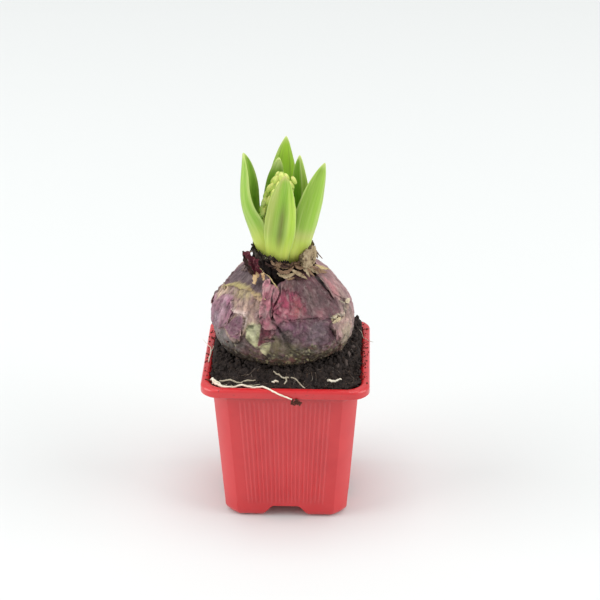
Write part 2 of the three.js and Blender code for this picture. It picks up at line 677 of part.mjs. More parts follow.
function rightFlap() {
  return blade({
    path: [[10.4, -8.9, 104.9], [10.8, -8.7, 108.2], [10.7, -7.9, 111.6], [11, -7, 114.6]],
    facing: () => new THREE.Vector3(-0.75, 0.7, 0),
    width: (share) => mix(4.2, 3, share),
    arch: () => 0.35,
    thick: () => 0.7,
    stations: 6,
    across: 4,
  });
}

const plant = new THREE.Group();
plant.add(node("pot", pot(), 0xc8403c, 0.4));
plant.add(node("soil", soil(), 0x1e1916, 0.95));
plant.add(node("bulb", bulb(), 0x7d5364, 0.6));
plant.add(node("neck_collar", neckCollar(), 0x6b5345, 0.8));
plant.add(node("neck_flap_left", leftFlap(), 0x5a2434, 0.7));
plant.add(node("neck_flap_right", rightFlap(), 0xa08a6c, 0.8));
for (const shape of LEAVES) plant.add(node(shape.name, leaf(shape), 0x86b93a, 0.4));
plant.add(node("flower_bud", flowerBud(), 0xbccb6a, 0.5));
for (const [name, tubes] of Object.entries(ROOTS)) plant.add(node(name, rootSolid(tubes, 0), 0xe0dac8, 0.5));
plant.add(node("root_clod", rootClod(), 0x3a2c22, 0.9));

export default plant;
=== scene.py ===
import itertools
import math
import random

import bpy
import numpy as np
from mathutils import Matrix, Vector
from mathutils.bvhtree import BVHTree


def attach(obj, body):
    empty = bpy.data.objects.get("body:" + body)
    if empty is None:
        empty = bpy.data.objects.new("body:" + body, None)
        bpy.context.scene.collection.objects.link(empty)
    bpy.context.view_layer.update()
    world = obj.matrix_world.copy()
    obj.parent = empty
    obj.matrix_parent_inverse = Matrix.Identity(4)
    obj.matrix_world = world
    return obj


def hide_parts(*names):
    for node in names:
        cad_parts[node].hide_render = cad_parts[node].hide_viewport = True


# A potted hyacinth. Lengths in this script are millimetres, turned into metres as a mesh is made.
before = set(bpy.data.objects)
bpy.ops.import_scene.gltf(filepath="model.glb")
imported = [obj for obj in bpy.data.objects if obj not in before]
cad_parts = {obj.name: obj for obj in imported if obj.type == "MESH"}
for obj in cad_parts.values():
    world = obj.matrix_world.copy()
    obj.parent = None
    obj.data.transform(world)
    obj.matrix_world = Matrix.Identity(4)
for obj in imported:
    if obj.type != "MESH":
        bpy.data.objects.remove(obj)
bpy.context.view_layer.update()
MM = 0.001

# Where the bulb stands and how the pot is sized, as in the solids
BULB_X, BULB_Y = -1.9, 3.0
POT_HEIGHT = 65.0
RIM_HALF = 35.0
RIM_CORNER = 8.0
RIM_HEIGHT = 3.8
FOOT_HALF, SHOULDER_HALF, SHOULDER_Z = 25.7, 30.05, 58.0
CHAMFER_HIGH = 6.15
ARCH_HEIGHT, ARCH_FOOT_HALF, ARCH_TOP_HALF = 5.3, 11.0, 5.0
WALL = 1.3
RIB_COUNT = 20
RIB_SPREAD_LOW, RIB_SPREAD_HIGH = 15.7, 18.6
RIB_LOW_Z, RIB_HIGH_Z = 7.5, 57.6
SOIL_CUT = 56.0
LEFT_FRONT, RIGHT_HEAP = -138, -18  # degrees round the bulb where the soil is heaped highest

# The bulb's outer radius at each height
BULB_OUTLINE = [
    (57, 8.4), (60, 13.4), (64, 18.4), (68, 23.4), (72, 27.9), (76, 29.8), (80, 30.3), (84, 29.9),
    (88, 28.8), (92, 26.9), (96, 24.0), (100, 20.9), (104, 16.4), (108, 11.9), (112, 10.9),
]
# Upper edge of its skin round the dark hollow of the neck: degrees round the bulb, height
LIP_EDGE = [
    (-192, 107.6), (-149, 107.3), (-128, 106.6), (-112, 105.0), (-102, 103.4), (-96, 102.9), (-89, 104.2),
    (-78, 105.8), (-62, 106.3), (-36, 105.4), (-31, 102.8), (-25, 105.0), (0, 106.8), (60, 107.8),
    (168, 107.6),
]


def shade(red, green, blue):
    """A colour as seen on a screen, from 0 to 255, as linear light."""
    return tuple((value / 255) ** 2.2 for value in (red, green, blue))


# Numbers over many points at once


def smooth(low, high, value):
    share = np.clip((value - low) / (high - low), 0, 1)
    return share * share * (3 - 2 * share)


def mix(low, high, share):
    return low + (high - low) * share


def tint_mix(low, high, share):
    return low + (np.asarray(high) - low) * np.asarray(share)[..., None]


def bell(value, middle, width):
    """1 at the middle, and down to 0 on both sides of it."""
    return np.exp(-(((value - middle) / width) ** 2))


def wander(place, seed=0):
    """Smooth noise between about -1 and 1 at each row of a table of places, one unit a lump."""
    place = np.asarray(place, float)
    cell = np.floor(place).astype(np.int64)
    part = place - cell
    ease = part ** 3 * (part * (part * 6 - 15) + 10)
    total = np.zeros(len(place))
    for corner in itertools.product((0, 1), repeat=3):
        at = cell + corner
        key = (at[:, 0] * 73856093) ^ (at[:, 1] * 19349663) ^ (at[:, 2] * 83492791) ^ (seed * 26544357)
        key = ((key & 0x7FFFFFFF) * 1274126177) & 0x7FFFFFFFFFFF
        key = key ^ (key >> 15)
        slope = np.stack([(key >> shift) & 255 for shift in (3, 11, 19)], 1) / 127.5 - 1
        weight = np.prod(np.where(corner, ease, 1 - ease), 1)
        total += weight * np.sum(slope * (part - corner), 1)
    return 1.3 * total


def rough(place, seed=0, layers=3):
    """Noise with finer and finer lumps on it."""
    return sum(wander(np.asarray(place) * 2 ** i, seed + i) / 2 ** i for i in range(layers))


def table_value(table, at):
    places, values = zip(*table)
    return np.interp(at, places, values)


def round_value(table, degrees):
    """Value of a table of degrees and values that goes all the way round."""
    places, values = zip(*table)
    return np.interp(degrees, places, values, period=360)


def polar(degrees, radius, z):
    turn = np.radians(degrees)
    return np.stack([BULB_X + radius * np.cos(turn), BULB_Y + radius * np.sin(turn), z + 0 * turn], 1)


def unit(rows):
    return rows / np.linalg.norm(rows, axis=-1, keepdims=True)


def curve_through(points, shares, fine=400):
    """Points at equal shares of the length of a smooth curve through points."""
    points = np.array(points, float)
    points = np.vstack([2 * points[0] - points[1], points, 2 * points[-1] - points[-2]])
    steps = np.maximum(np.linalg.norm(np.diff(points, axis=0), axis=1) ** 0.5, 1e-4)
    dense = []
    for i in range(1, len(points) - 2):
        before, here, after = steps[i - 1], steps[i], steps[i + 1]
        p0, p1, p2, p3 = points[i - 1:i + 3]
        leave = ((p1 - p0) / before - (p2 - p0) / (before + here) + (p2 - p1) / here) * here
        reach = ((p2 - p1) / here - (p3 - p1) / (here + after) + (p3 - p2) / after) * here
        t = np.linspace(0, 1, fine)[:, None]
        dense.append(p1 + leave * t + (3 * (p2 - p1) - 2 * leave - reach) * t ** 2
                     + (2 * (p1 - p2) + leave + reach) * t ** 3)
    dense = np.vstack(dense)
    length = np.concatenate([[0], np.cumsum(np.linalg.norm(np.diff(dense, axis=0), axis=1))])
    at = np.clip(shares, 0, 1) * length[-1]
    return np.stack([np.interp(at, length, dense[:, i]) for i in range(3)], 1)


# Modelling


def leave_all():
    if bpy.context.object and bpy.context.object.mode != "OBJECT":
        bpy.ops.object.mode_set(mode="OBJECT")
    bpy.ops.object.select_all(action="DESELECT")


def name_new(name):
    piece = bpy.context.object
    piece.name = name
    piece.data.name = name
    return piece


def pick(piece):
    leave_all()
    piece.select_set(True)
    bpy.context.view_layer.objects.active = piece
    return piece


def edit(piece, how="VERT"):
    pick(piece)
    bpy.ops.object.mode_set(mode="EDIT")
    bpy.ops.mesh.select_mode(type=how)
    bpy.ops.mesh.select_all(action="SELECT")


def done():
    bpy.ops.object.mode_set(mode="OBJECT")


def add_rows(piece, rows):
    """Cuts the upright edges of a plain tube into rows, at most a hundred cuts at a time."""
    while rows > 1:
        part = rows if rows <= 100 else next(n for n in (50, 40, 25, 20, 10) if rows % n == 0)
        pick(piece)
        mesh = piece.data
        points = read_points(piece)
        ends = np.array([edge.vertices[:] for edge in mesh.edges])
        upright = np.abs(points[ends[:, 0], 2] - points[ends[:, 1], 2]) > 1e-6
        edit(piece, "EDGE")
        bpy.ops.mesh.select_all(action="DESELECT")
        done()
        mesh.edges.foreach_set("select", upright)
        bpy.ops.object.mode_set(mode="EDIT")
        bpy.ops.mesh.subdivide(number_cuts=part - 1)
        done()
        rows //= part


def tube(name, columns, rows):
    leave_all()
    bpy.ops.mesh.primitive_cylinder_add(vertices=columns, radius=1, depth=1, end_fill_type="NOTHING")
    piece = name_new(name)
    add_rows(piece, rows)
    return piece


def strip(name, columns, rows):
    leave_all()
    bpy.ops.mesh.primitive_grid_add(x_subdivisions=columns, y_subdivisions=rows, size=1)
    return name_new(name)


def read_points(piece):
    flat = np.empty(len(piece.data.vertices) * 3, np.float32)
    piece.data.vertices.foreach_get("co", flat)
    return flat.reshape(-1, 3).astype(float)


def write_points(piece, points):
    piece.data.vertices.foreach_set("co", (np.asarray(points) * MM).astype(np.float32).ravel())
    piece.data.update()


def write_values(piece, name, values):
    """Keeps a number, a place or a colour for every point of a mesh."""
    values = np.asarray(values, np.float32)
    if values.ndim == 1:
        kept = piece.data.attributes.new(name, "FLOAT", "POINT")
        kept.data.foreach_set("value", values)
    elif name.endswith("tint"):
        kept = piece.data.color_attributes.new(name, "FLOAT_COLOR", "POINT")
        opaque = np.hstack([values, np.ones((len(values), 1))])
        kept.data.foreach_set("color", opaque.astype(np.float32).ravel())
    else:
        kept = piece.data.attributes.new(name, "FLOAT_VECTOR", "POINT")
        kept.data.foreach_set("vector", values.ravel())


def shape_tube(piece, form):
    """Gives a plain tube its form, from the share of the way round and the share of the way up."""
    points = read_points(piece)
    around = np.round(np.arctan2(points[:, 1], points[:, 0]) / (2 * math.pi), 6) % 1
    form_piece(piece, form, around, points[:, 2] + 0.5)


def shape_strip(piece, form):
    points = read_points(piece)
    form_piece(piece, form, points[:, 0] + 0.5, points[:, 1] + 0.5)


def form_piece(piece, form, u, v):
    points, kept = form(u, v)
    write_points(piece, points)
    for name, values in kept.items():
        write_values(piece, name, values)


def close(piece, near=0.002):
    """Merges points that meet, and turns all faces outwards."""
    edit(piece)
    bpy.ops.mesh.remove_doubles(threshold=near * MM)
    bpy.ops.mesh.normals_make_consistent(inside=False)
    done()


def modify(piece, kind, **settings):
    pick(piece)
    modifier = piece.modifiers.new(kind.lower(), kind)
    for key, value in settings.items():
        setattr(modifier, key, value)
    bpy.ops.object.modifier_apply(modifier=modifier.name)


def thicken(piece, thick, offset=0):
    modify(piece, "SOLIDIFY", thickness=thick * MM, offset=offset, use_even_offset=False)
    close(piece, 0.0005)


def dress(piece, material, slot, *nodes, angle=40):
    pick(piece)
    bpy.ops.object.shade_smooth_by_angle(angle=math.radians(angle))
    piece.data.materials.clear()
    piece.data.materials.append(material)
    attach(piece, "root")
    if nodes:
        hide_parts(*nodes)
    return piece


def join(name, pieces):
    leave_all()
    for piece in pieces:
        piece.select_set(True)
    bpy.context.view_layer.objects.active = pieces[0]
    bpy.ops.object.join()
    return name_new(name)


# Materials


def fill(tree, socket, value):
    """Links a socket to another one, or gives it a plain value."""
    if isinstance(value, bpy.types.NodeSocket):
        tree.links.new(value, socket)
    elif socket.type == "RGBA":
        socket.default_value = (*value[:3], 1)
    else:
        socket.default_value = value


def add(tree, kind, inputs=None, **settings):
    made = tree.nodes.new(kind)
    for key, value in settings.items():
        setattr(made, key, value)
    for key, value in (inputs or {}).items():
        fill(tree, made.inputs[key], value)
    return made


def node_group(name, inputs, outputs):
    tree = bpy.data.node_groups.new(name, "ShaderNodeTree")
    for label, kind, value in inputs:
        socket = tree.interface.new_socket(name=label, in_out="INPUT", socket_type=kind)
        if value is not None:
            socket.default_value = value
    for label, kind in outputs:
        tree.interface.new_socket(name=label, in_out="OUTPUT", socket_type=kind)
    return tree, add(tree, "NodeGroupInput").outputs, add(tree, "NodeGroupOutput").inputs


COLOUR, VALUE, PLACE = "NodeSocketColor", "NodeSocketFloat", "NodeSocketVector"


def blend_colour(tree, share, low, high, how="MIX"):
    made = add(tree, "ShaderNodeMix", data_type="RGBA", blend_type=how)
    for socket, value in ((made.inputs["Factor"], share), (made.inputs[6], low), (made.inputs[7], high)):
        fill(tree, socket, value)
    return made.outputs[2]


def ramp(tree, value, low, high):
    """A value drawn out from low..high to 0..1."""
    return add(tree, "ShaderNodeMapRange", {"Value": value, "From Min": low, "From Max": high}).outputs[0]


def calculate(tree, how, first, second, **settings):
    return add(tree, "ShaderNodeMath", {0: first, 1: second}, operation=how, **settings).outputs[0]


def times(tree, first, second):
    return calculate(tree, "MULTIPLY", first, second)


def plus(tree, first, second):
    return calculate(tree, "ADD", first, second)


def noise(tree, place, scale, detail, grain=0.5, twist=0.0):
    inputs = {"Vector": place, "Scale": scale, "Detail": detail, "Roughness": grain, "Distortion": twist}
    return add(tree, "ShaderNodeTexNoise", inputs).outputs[0]


def make_mottle():
    """Lighter and darker patches of two sizes over a colour."""
    tree, given, put = node_group(
        "mottle",
        [("Colour", COLOUR, None), ("Dark", COLOUR, None), ("Light", COLOUR, None), ("Place", PLACE, None),
         ("Scale", VALUE, 300.0), ("Dark Share", VALUE, 0.5), ("Light Share", VALUE, 0.3)],
        [("Colour", COLOUR), ("Height", VALUE)])
    coarse = noise(tree, given["Place"], given["Scale"], 5.0, 0.62)
    moved = add(tree, "ShaderNodeVectorMath", {0: given["Place"], 1: (0.31, 0.17, 0.23)}, operation="ADD")
    other = noise(tree, moved.outputs[0], given["Scale"], 6.0, 0.7)
    dark = times(tree, ramp(tree, coarse, 0.5, 0.72), given["Dark Share"])
    light = times(tree, ramp(tree, other, 0.52, 0.72), given["Light Share"])
    shaded = blend_colour(tree, dark, given["Colour"], given["Dark"])
    tree.links.new(blend_colour(tree, light, shaded, given["Light"]), put["Colour"])
    tree.links.new(coarse, put["Height"])
    return tree


def make_fibres():
    """Fine lines that run along the third direction of a place."""
    tree, given, put = node_group(
        "fibres",
        [("Place", PLACE, None), ("Across", VALUE, 1.6), ("Along", VALUE, 0.12)],
        [("Value", VALUE)])
    scale = add(tree, "ShaderNodeCombineXYZ", {0: given["Across"], 1: given["Across"], 2: given["Along"]})
    placed = add(tree, "ShaderNodeVectorMath", {0: given["Place"], 1: scale.outputs[0]}, operation="MULTIPLY")
    lines = noise(tree, placed.outputs[0], 1.0, 4.0, 0.6, 0.4)
    tree.links.new(ramp(tree, lines, 0.28, 0.72), put["Value"])
    return tree


def make_flecks():
    """Small scattered flecks of another colour."""
    tree, given, put = node_group(
        "flecks",
        [("Colour", COLOUR, None), ("Fleck", COLOUR, None), ("Place", PLACE, None), ("Scale", VALUE, 900.0),
         ("Share", VALUE, 0.3)],
        [("Colour", COLOUR), ("Mask", VALUE)])
    spots = add(tree, "ShaderNodeTexVoronoi", {"Vector": given["Place"], "Scale": given["Scale"],
                                               "Randomness": 1.0})
    where = noise(tree, given["Place"], given["Scale"], 2.0)
    near = times(tree, ramp(tree, spots.outputs["Distance"], 0.42, 0.2), ramp(tree, where, 0.5, 0.62))
    share = calculate(tree, "MULTIPLY", near, given["Share"], use_clamp=True)
    tree.links.new(blend_colour(tree, share, given["Colour"], given["Fleck"]), put["Colour"])
    tree.links.new(share, put["Mask"])
    return tree


MOTTLE, FIBRES, FLECKS = make_mottle(), make_fibres(), make_flecks()


def use(tree, group, **inputs):
    """The outputs of a shared group. An underscore stands for a space in the name of an input."""
    made = add(tree, "ShaderNodeGroup", node_tree=group)
    for key, value in inputs.items():
        fill(tree, made.inputs[key.replace("_", " ")], value)
    return made.outputs


def begin(name, roughness, **plain):
    material = bpy.data.materials.new(name)
    material.use_nodes = True
    tree = material.node_tree
    shader = tree.nodes["Principled BSDF"]
    shader.inputs["Roughness"].default_value = roughness
    for key, value in plain.items():
        shader.inputs[key.replace("_", " ")].default_value = value
    return material, tree, shader


def object_place(tree):
    return add(tree, "ShaderNodeTexCoord").outputs["Object"]


def kept_value(tree, name, output="Fac"):
    """A number, colour or place that the mesh keeps for each of its points."""
    return add(tree, "ShaderNodeAttribute", attribute_name=name).outputs[output]


def bumps(tree, shader, height, distance, strength=1.0):
    """Relief of a height that runs from 0 to 1 over a distance in millimetres."""
    made = add(tree, "ShaderNodeBump", {"Height": height, "Distance": distance * MM, "Strength": strength})
    tree.links.new(made.outputs[0], shader.inputs["Normal"])


def pot_plastic():
    material, tree, shader = begin(
        "pot_plastic", 0.34, Specular_IOR_Level=0.5, Coat_Weight=0.5, Coat_Roughness=0.12)
    place = object_place(tree)
    cloudy = noise(tree, place, 60.0, 3.0)
    red = blend_colour(tree, ramp(tree, cloudy, 0.35, 0.65), shade(196, 36, 42), shade(206, 46, 50))
    # Painted highlight: the crests of the ribs are lightened.
    red = blend_colour(tree, times(tree, kept_value(tree, "pot_rib"), 0.16), red, shade(232, 104, 106))
    # Painted shade: the wall just under the rim is darkened.
    shaded = times(tree, kept_value(tree, "pot_under_rim"), 0.85)
    red = blend_colour(tree, shaded, red, shade(120, 22, 28))
    dusty = use(tree, FLECKS, Colour=red, Fleck=shade(84, 34, 30), Place=place, Scale=1100.0,
                Share=kept_value(tree, "pot_soiled"))
    tree.links.new(dusty["Colour"], shader.inputs["Base Color"])
    roughness = plus(tree, times(tree, cloudy, 0.16), plus(tree, times(tree, dusty["Mask"], 0.4), 0.26))
    tree.links.new(roughness, shader.inputs["Roughness"])
    bumps(tree, shader, noise(tree, place, 1600.0, 2.0), 0.03, 0.5)
    return material


def soil_finish(name="potting_soil", main=shade(50, 44, 42), dark=shade(22, 19, 19), light=shade(94, 82, 74)):
    material, tree, shader = begin(name, 0.92, Specular_IOR_Level=0.2)
    place = object_place(tree)
    mottled = use(tree, MOTTLE, Colour=main, Dark=dark, Light=light, Place=place, Scale=420.0, Dark_Share=1.0,
                  Light_Share=0.45)
    flecked = use(tree, FLECKS, Colour=mottled["Colour"], Fleck=shade(96, 74, 56), Place=place, Scale=620.0,
                  Share=0.35)
    tree.links.new(flecked["Colour"], shader.inputs["Base Color"])
    bumps(tree, shader, mottled["Height"], 0.6)
    return material


def bulb_skin_finish():
    material, tree, shader = begin("bulb_skin", 0.5, Specular_IOR_Level=0.4)
    place, tint = kept_value(tree, "skin_place", "Vector"), kept_value(tree, "skin_tint", "Color")
    veined = kept_value(tree, "skin_veined")
    fine = use(tree, FIBRES, Place=place, Across=1.7, Along=0.16)["Value"]
    light_line = times(tree, ramp(tree, fine, 0.5, 1.0), times(tree, veined, 0.14))
    dark_line = times(tree, ramp(tree, fine, 0.42, 0.0), times(tree, veined, 0.3))
    lined = blend_colour(tree, light_line, tint, shade(204, 184, 178))
    lined = blend_colour(tree, dark_line, lined, shade(60, 38, 44))
    mottled = use(tree, MOTTLE, Colour=lined, Dark=shade(58, 40, 44), Light=shade(214, 190, 184), Place=place,
                  Scale=0.36, Dark_Share=0.4, Light_Share=0.2)
    earthy = use(tree, MOTTLE, Colour=shade(64, 57, 47), Dark=shade(32, 27, 24), Light=shade(126, 120, 92),
                 Place=place, Scale=1.0, Dark_Share=0.9, Light_Share=0.6)
    grains = noise(tree, place, 0.7, 8.0, 0.78)
    dirt = plus(tree, times(tree, kept_value(tree, "skin_dirt"), 1.5), grains)
    spread = ramp(tree, calculate(tree, "SUBTRACT", dirt, 0.95), 0.0, 0.5)
    dirty = blend_colour(tree, times(tree, spread, 0.92), mottled["Colour"], earthy["Colour"])
    specked = use(tree, FLECKS, Colour=dirty, Fleck=shade(38, 28, 26), Place=place, Scale=1.1, Share=0.5)
    # Near-black where the crack mask says: painted shade in the cracks and the neck's hollow, painted shadow
    # along sheet edges.
    crack_shaded = blend_colour(tree, kept_value(tree, "skin_crack"), specked["Colour"], shade(24, 15, 16))
    tree.links.new(crack_shaded, shader.inputs["Base Color"])
    relief = plus(tree, times(tree, fine, times(tree, veined, 0.16)), times(tree, mottled["Height"], 1.4))
    bumps(tree, shader, relief, 0.6, 0.9)
    return material


GREEN_DEPTH = (0.0012, 0.002, 0.0006)  # how deep red, green and blue light go into green parts


def leaf_finish():
    material, tree, shader = begin("leaf_green", 0.44, Specular_IOR_Level=0.28, Subsurface_Weight=0.15,
                                   Subsurface_Radius=GREEN_DEPTH)
    place, tint = kept_value(tree, "blade_place", "Vector"), kept_value(tree, "blade_tint", "Color")
    veins = use(tree, FIBRES, Place=place, Across=1.1, Along=0.03)["Value"]
    fine = use(tree, FIBRES, Place=place, Across=3.2, Along=0.08)["Value"]
    deeper = blend_colour(tree, 0.34, tint, shade(110, 150, 40), "MULTIPLY")
    lined = blend_colour(tree, times(tree, veins, 0.5), tint, deeper)
    lined = blend_colour(tree, times(tree, fine, 0.16), lined, shade(222, 236, 160))
    tree.links.new(lined, shader.inputs["Base Color"])
    bumps(tree, shader, plus(tree, times(tree, veins, 0.7), times(tree, fine, 0.3)), 0.12, 0.7)
    return material


def bud_finish():
    material, tree, shader = begin("bud_green", 0.5, Specular_IOR_Level=0.35, Subsurface_Weight=0.15,
                                   Subsurface_Radius=GREEN_DEPTH)
    mottled = use(tree, MOTTLE, Colour=kept_value(tree, "bud_tint", "Color"), Dark=shade(120, 150, 60),
                  Light=shade(236, 236, 160), Place=object_place(tree), Scale=600.0, Dark_Share=0.35,
                  Light_Share=0.35)
    tree.links.new(mottled["Colour"], shader.inputs["Base Color"])
    bumps(tree, shader, mottled["Height"], 0.15)
    return material


def papery_finish(name, main, dark, light, flecks, fleck_share):
    material, tree, shader = begin(name, 0.72, Specular_IOR_Level=0.25)
    place = object_place(tree)
    mottled = use(tree, MOTTLE, Colour=main, Dark=dark, Light=light, Place=place, Scale=420.0, Dark_Share=0.9,
                  Light_Share=0.8)
    flecked = use(tree, FLECKS, Colour=mottled["Colour"], Fleck=flecks, Place=place, Scale=900.0,
                  Share=fleck_share)
    # Darker along the edges, and painted shade in the dents, as the mesh gives it.
    edged = blend_colour(tree, kept_value(tree, "dry_edge"), flecked["Colour"], dark)
    tree.links.new(edged, shader.inputs["Base Color"])
    bumps(tree, shader, plus(tree, mottled["Height"], times(tree, flecked["Mask"], 0.5)), 0.45)
    return material


# Dry skins: name of the material, main, dark and light colour, colour of its flecks and their share
PAPERY = {
    # Painted shade: the hollow finish is a near-black skin that stands for the shade in the neck's hollow.
    "hollow": ("hollow_painted_shade", (42, 32, 30), (20, 15, 15), (84, 68, 56), (96, 84, 60), 0.4),
    "moss": ("mossy_scale", (62, 50, 44), (28, 22, 20), (104, 92, 78), (168, 176, 140), 0.9),
    "beige": ("beige_scale", (174, 154, 122), (74, 56, 44), (216, 202, 170), (94, 72, 58), 0.9),
    "tan": ("tan_scale", (140, 112, 88), (70, 50, 44), (190, 164, 126), (72, 52, 46), 0.5),
    "umber": ("umber_scale", (66, 46, 42), (30, 22, 22), (118, 92, 76), (150, 128, 100), 0.4),
    "straw": ("straw_scale", (196, 176, 128), (120, 96, 66), (226, 212, 168), (140, 110, 76), 0.4),
    "cream": ("cream_scale", (206, 176, 132), (140, 96, 66), (232, 214, 178), (150, 96, 70), 0.5),
    "burgundy": ("burgundy_scale", (88, 32, 44), (42, 20, 26), (150, 92, 98), (176, 140, 130), 0.3),
}


def root_finish(name, main, stain):
    material, tree, shader = begin(name, 0.55, Specular_IOR_Level=0.35)
    mottled = use(tree, MOTTLE, Colour=main, Dark=stain, Light=shade(250, 246, 232), Place=object_place(tree),
                  Scale=260.0, Dark_Share=0.75, Light_Share=0.4)
    tree.links.new(mottled["Colour"], shader.inputs["Base Color"])
    bumps(tree, shader, mottled["Height"], 0.2)
    return material


# Pot


def square_ring(u, half, corner, arc, panel):
    """Place on a square ring with chamfered (arc 0) or round (arc 1) corners, the share of the
    ribbed panel's half width, and how far round a corner the point is."""
    side = np.floor(u * 4 + 0.5)
    along = (u * 4 + 0.5) - side
    corner_share = 0.1
    turn_in = np.clip(along / corner_share, 0, 1)
    turn_out = np.clip((along - 1 + corner_share) / corner_share, 0, 1)
    flat = np.clip((along - corner_share) / (1 - 2 * corner_share), 0, 1) * 2 - 1
    reach = half - corner
    panel = np.minimum(panel, 0.86 * reach)
    panel_share = 0.9
    on_panel = flat / panel_share
    beyond = (np.abs(flat) - panel_share) / (1 - panel_share)
    straight = np.where(beyond < 0, on_panel * panel, np.sign(flat) * mix(panel, reach, beyond))
    bend = (turn_in - 1 + turn_out) * math.pi / 4
    share = np.abs(bend) / (math.pi / 4)
    out = reach + mix(corner * (1 - 0.5 * share), corner * np.cos(bend), arc)
    across = straight + mix(corner * 0.5 * share * np.sign(bend), corner * np.sin(bend), arc)
    turn = (side - 1) * math.pi / 2
    x = across * np.cos(turn) + out * np.sin(turn)
    y = across * np.sin(turn) - out * np.cos(turn)
    return x, y, on_panel, share


def arch(across, grown=0.0):
    """Height of the gap between two feet, at a place along a side."""
    low, high = ARCH_FOOT_HALF + grown, ARCH_TOP_HALF + grown
    return (ARCH_HEIGHT + grown) * smooth(low, high, np.abs(across))


# The pot's section from the middle of its underside, out and up the wall, over the rim and down
# inside: rows of faces since the line before, half width, height, corner, roundness of the corner.
INNER_RIM = RIM_HALF - 3.2
POT_SECTION = [
    (0, 0.05, 0.0, 0.02, 1.0), (8, 12.0, 0.0, 4.0, 0.6), (5, FOOT_HALF - 4.0, 0.0, 4.6, 0.3),
    (1, FOOT_HALF - 2.6, 0.0, 5.0, 0.3), (1, FOOT_HALF - 1.6, 0.25, 5.2, 0.3),
    (1, FOOT_HALF - 0.75, 0.8, 5.3, 0.25), (1, FOOT_HALF - 0.15, 1.7, 5.4, 0.25),
    (1, FOOT_HALF + 0.22, 2.9, 5.42, 0.25), (2, FOOT_HALF + 0.35, 4.7, 5.5, 0.25),
    (2, FOOT_HALF + 0.5, 6.6, 5.6, 0.25), (3, FOOT_HALF + 0.7, 9.0, 5.7, 0.25),
    (10, SHOULDER_HALF - 0.2, 55.6, CHAMFER_HIGH, 0.25), (4, SHOULDER_HALF, 58.0, CHAMFER_HIGH, 0.25),
    (2, SHOULDER_HALF + 0.75, 60.2, CHAMFER_HIGH, 0.5), (2, SHOULDER_HALF + 1.3, 63.2, 6.6, 0.7),
    (2, RIM_HALF - 1.4, 63.7, 7.0, 1.0), (2, RIM_HALF - 1.25, 61.8, 7.2, 1.0),
    (1, RIM_HALF - 0.9, POT_HEIGHT - RIM_HEIGHT, 7.4, 1.0),
    (1, RIM_HALF - 0.3, POT_HEIGHT - RIM_HEIGHT + 0.05, RIM_CORNER, 1.0),
    (1, RIM_HALF, POT_HEIGHT - RIM_HEIGHT + 0.4, RIM_CORNER, 1.0), (2, RIM_HALF, 62.5, RIM_CORNER, 1.0),
    (2, RIM_HALF, POT_HEIGHT - 1.1, RIM_CORNER, 1.0), (1, RIM_HALF - 0.15, POT_HEIGHT - 0.6, RIM_CORNER, 1.0),
    (1, RIM_HALF - 0.5, POT_HEIGHT - 0.15, RIM_CORNER, 1.0), (1, RIM_HALF - 1.0, POT_HEIGHT, 7.8, 1.0),
    (2, INNER_RIM + 0.6, POT_HEIGHT, 7.0, 0.95), (1, INNER_RIM + 0.15, POT_HEIGHT - 0.25, 6.8, 0.9),
    (1, INNER_RIM - 0.1, POT_HEIGHT - 0.8, 6.7, 0.9), (3, INNER_RIM - 1.4, 62.0, 6.4, 0.8),
    (2, SHOULDER_HALF - WALL, 58.0, 5.4, 0.3), (6, FOOT_HALF - WALL + 0.3, 3.6, 4.6, 0.3),
    (2, FOOT_HALF - WALL - 1.4, WALL, 4.2, 0.3), (5, 0.05, WALL, 0.02, 1.0),
]
POT_ROWS = sum(line[0] for line in POT_SECTION)
# Where some of its lines stand in that table, and the share of the rows that ends low inside
BASE_EDGE, WALL_FOOT, FEET_TOP, WALL_TOP, UNDER_RIM, RIM_EDGE = 5, 9, 10, 14, 16, 18
INSIDE_FOOT = 0.9
DRAIN_RADIUS, DRAIN_OFFSET, DRAIN_DEPTH = 3.0, 15.0, 20.0


def pot_form(u, v):
    rows, halves, heights, corners, arcs = (np.array(column) for column in zip(*POT_SECTION))
    share = np.cumsum(rows) / POT_ROWS
    half = np.interp(v, share, halves)
    z = np.interp(v, share, heights)
    climb = np.clip((z - RIB_LOW_Z) / (RIB_HIGH_Z - RIB_LOW_Z), 0, 1)
    rib_pitch = 2 * mix(RIB_SPREAD_LOW, RIB_SPREAD_HIGH, climb) / (RIB_COUNT - 1)
    panel = rib_pitch * RIB_COUNT / 2
    x, y, on_panel, bend = square_ring(
        u, half, np.interp(v, share, corners), np.interp(v, share, arcs), panel)
    z = np.where(v <= share[FEET_TOP], np.maximum(z, np.maximum(arch(x), arch(y))), z)
    z = np.where(v > INSIDE_FOOT, np.maximum(z, np.maximum(arch(x, WALL), arch(y, WALL))), z)
    from_rib = 0.5 - np.abs((on_panel * RIB_COUNT / 2 + 0.5) % 1 - 0.5)
    on_wall = (v > share[BASE_EDGE]) & (v < share[WALL_TOP]) & (z < SHOULDER_Z + 0.5)
    ends = smooth(RIB_LOW_Z - 1.6, RIB_LOW_Z + 1.4, z) * smooth(RIB_HIGH_Z + 0.6, RIB_HIGH_Z - 0.6, z)
    # The rib mask raises the ribs and also lightens their crests in the material, a painted highlight.
    rib = smooth(0.3, 0.05, from_rib) * ends * (on_wall & (np.abs(on_panel) < 1) & (bend < 0.01))
    proud = 0.34 * rib
    turn = (np.floor(u * 4 + 0.5) - 1) * math.pi / 2
    x = x + proud * np.sin(turn)
    y = y - proud * np.cos(turn)
    dusty = np.clip(0.3 + 1.3 * wander(np.stack([x, y, z], 1) / 4.5, 97), 0, 1)
    soiled = smooth(55, 66, z) * dusty * (v > share[RIM_EDGE]) + 0.05 * (v <= share[RIM_EDGE])
    # Painted shade under the rim, kept for the material.
    painted_rim_shade = smooth(57.8, 60.2, z) * (v > share[WALL_FOOT]) * (v < share[UNDER_RIM])
    return np.stack([x, y, z], 1), {"pot_soiled": soiled, "pot_rib": rib, "pot_under_rim": painted_rim_shade}


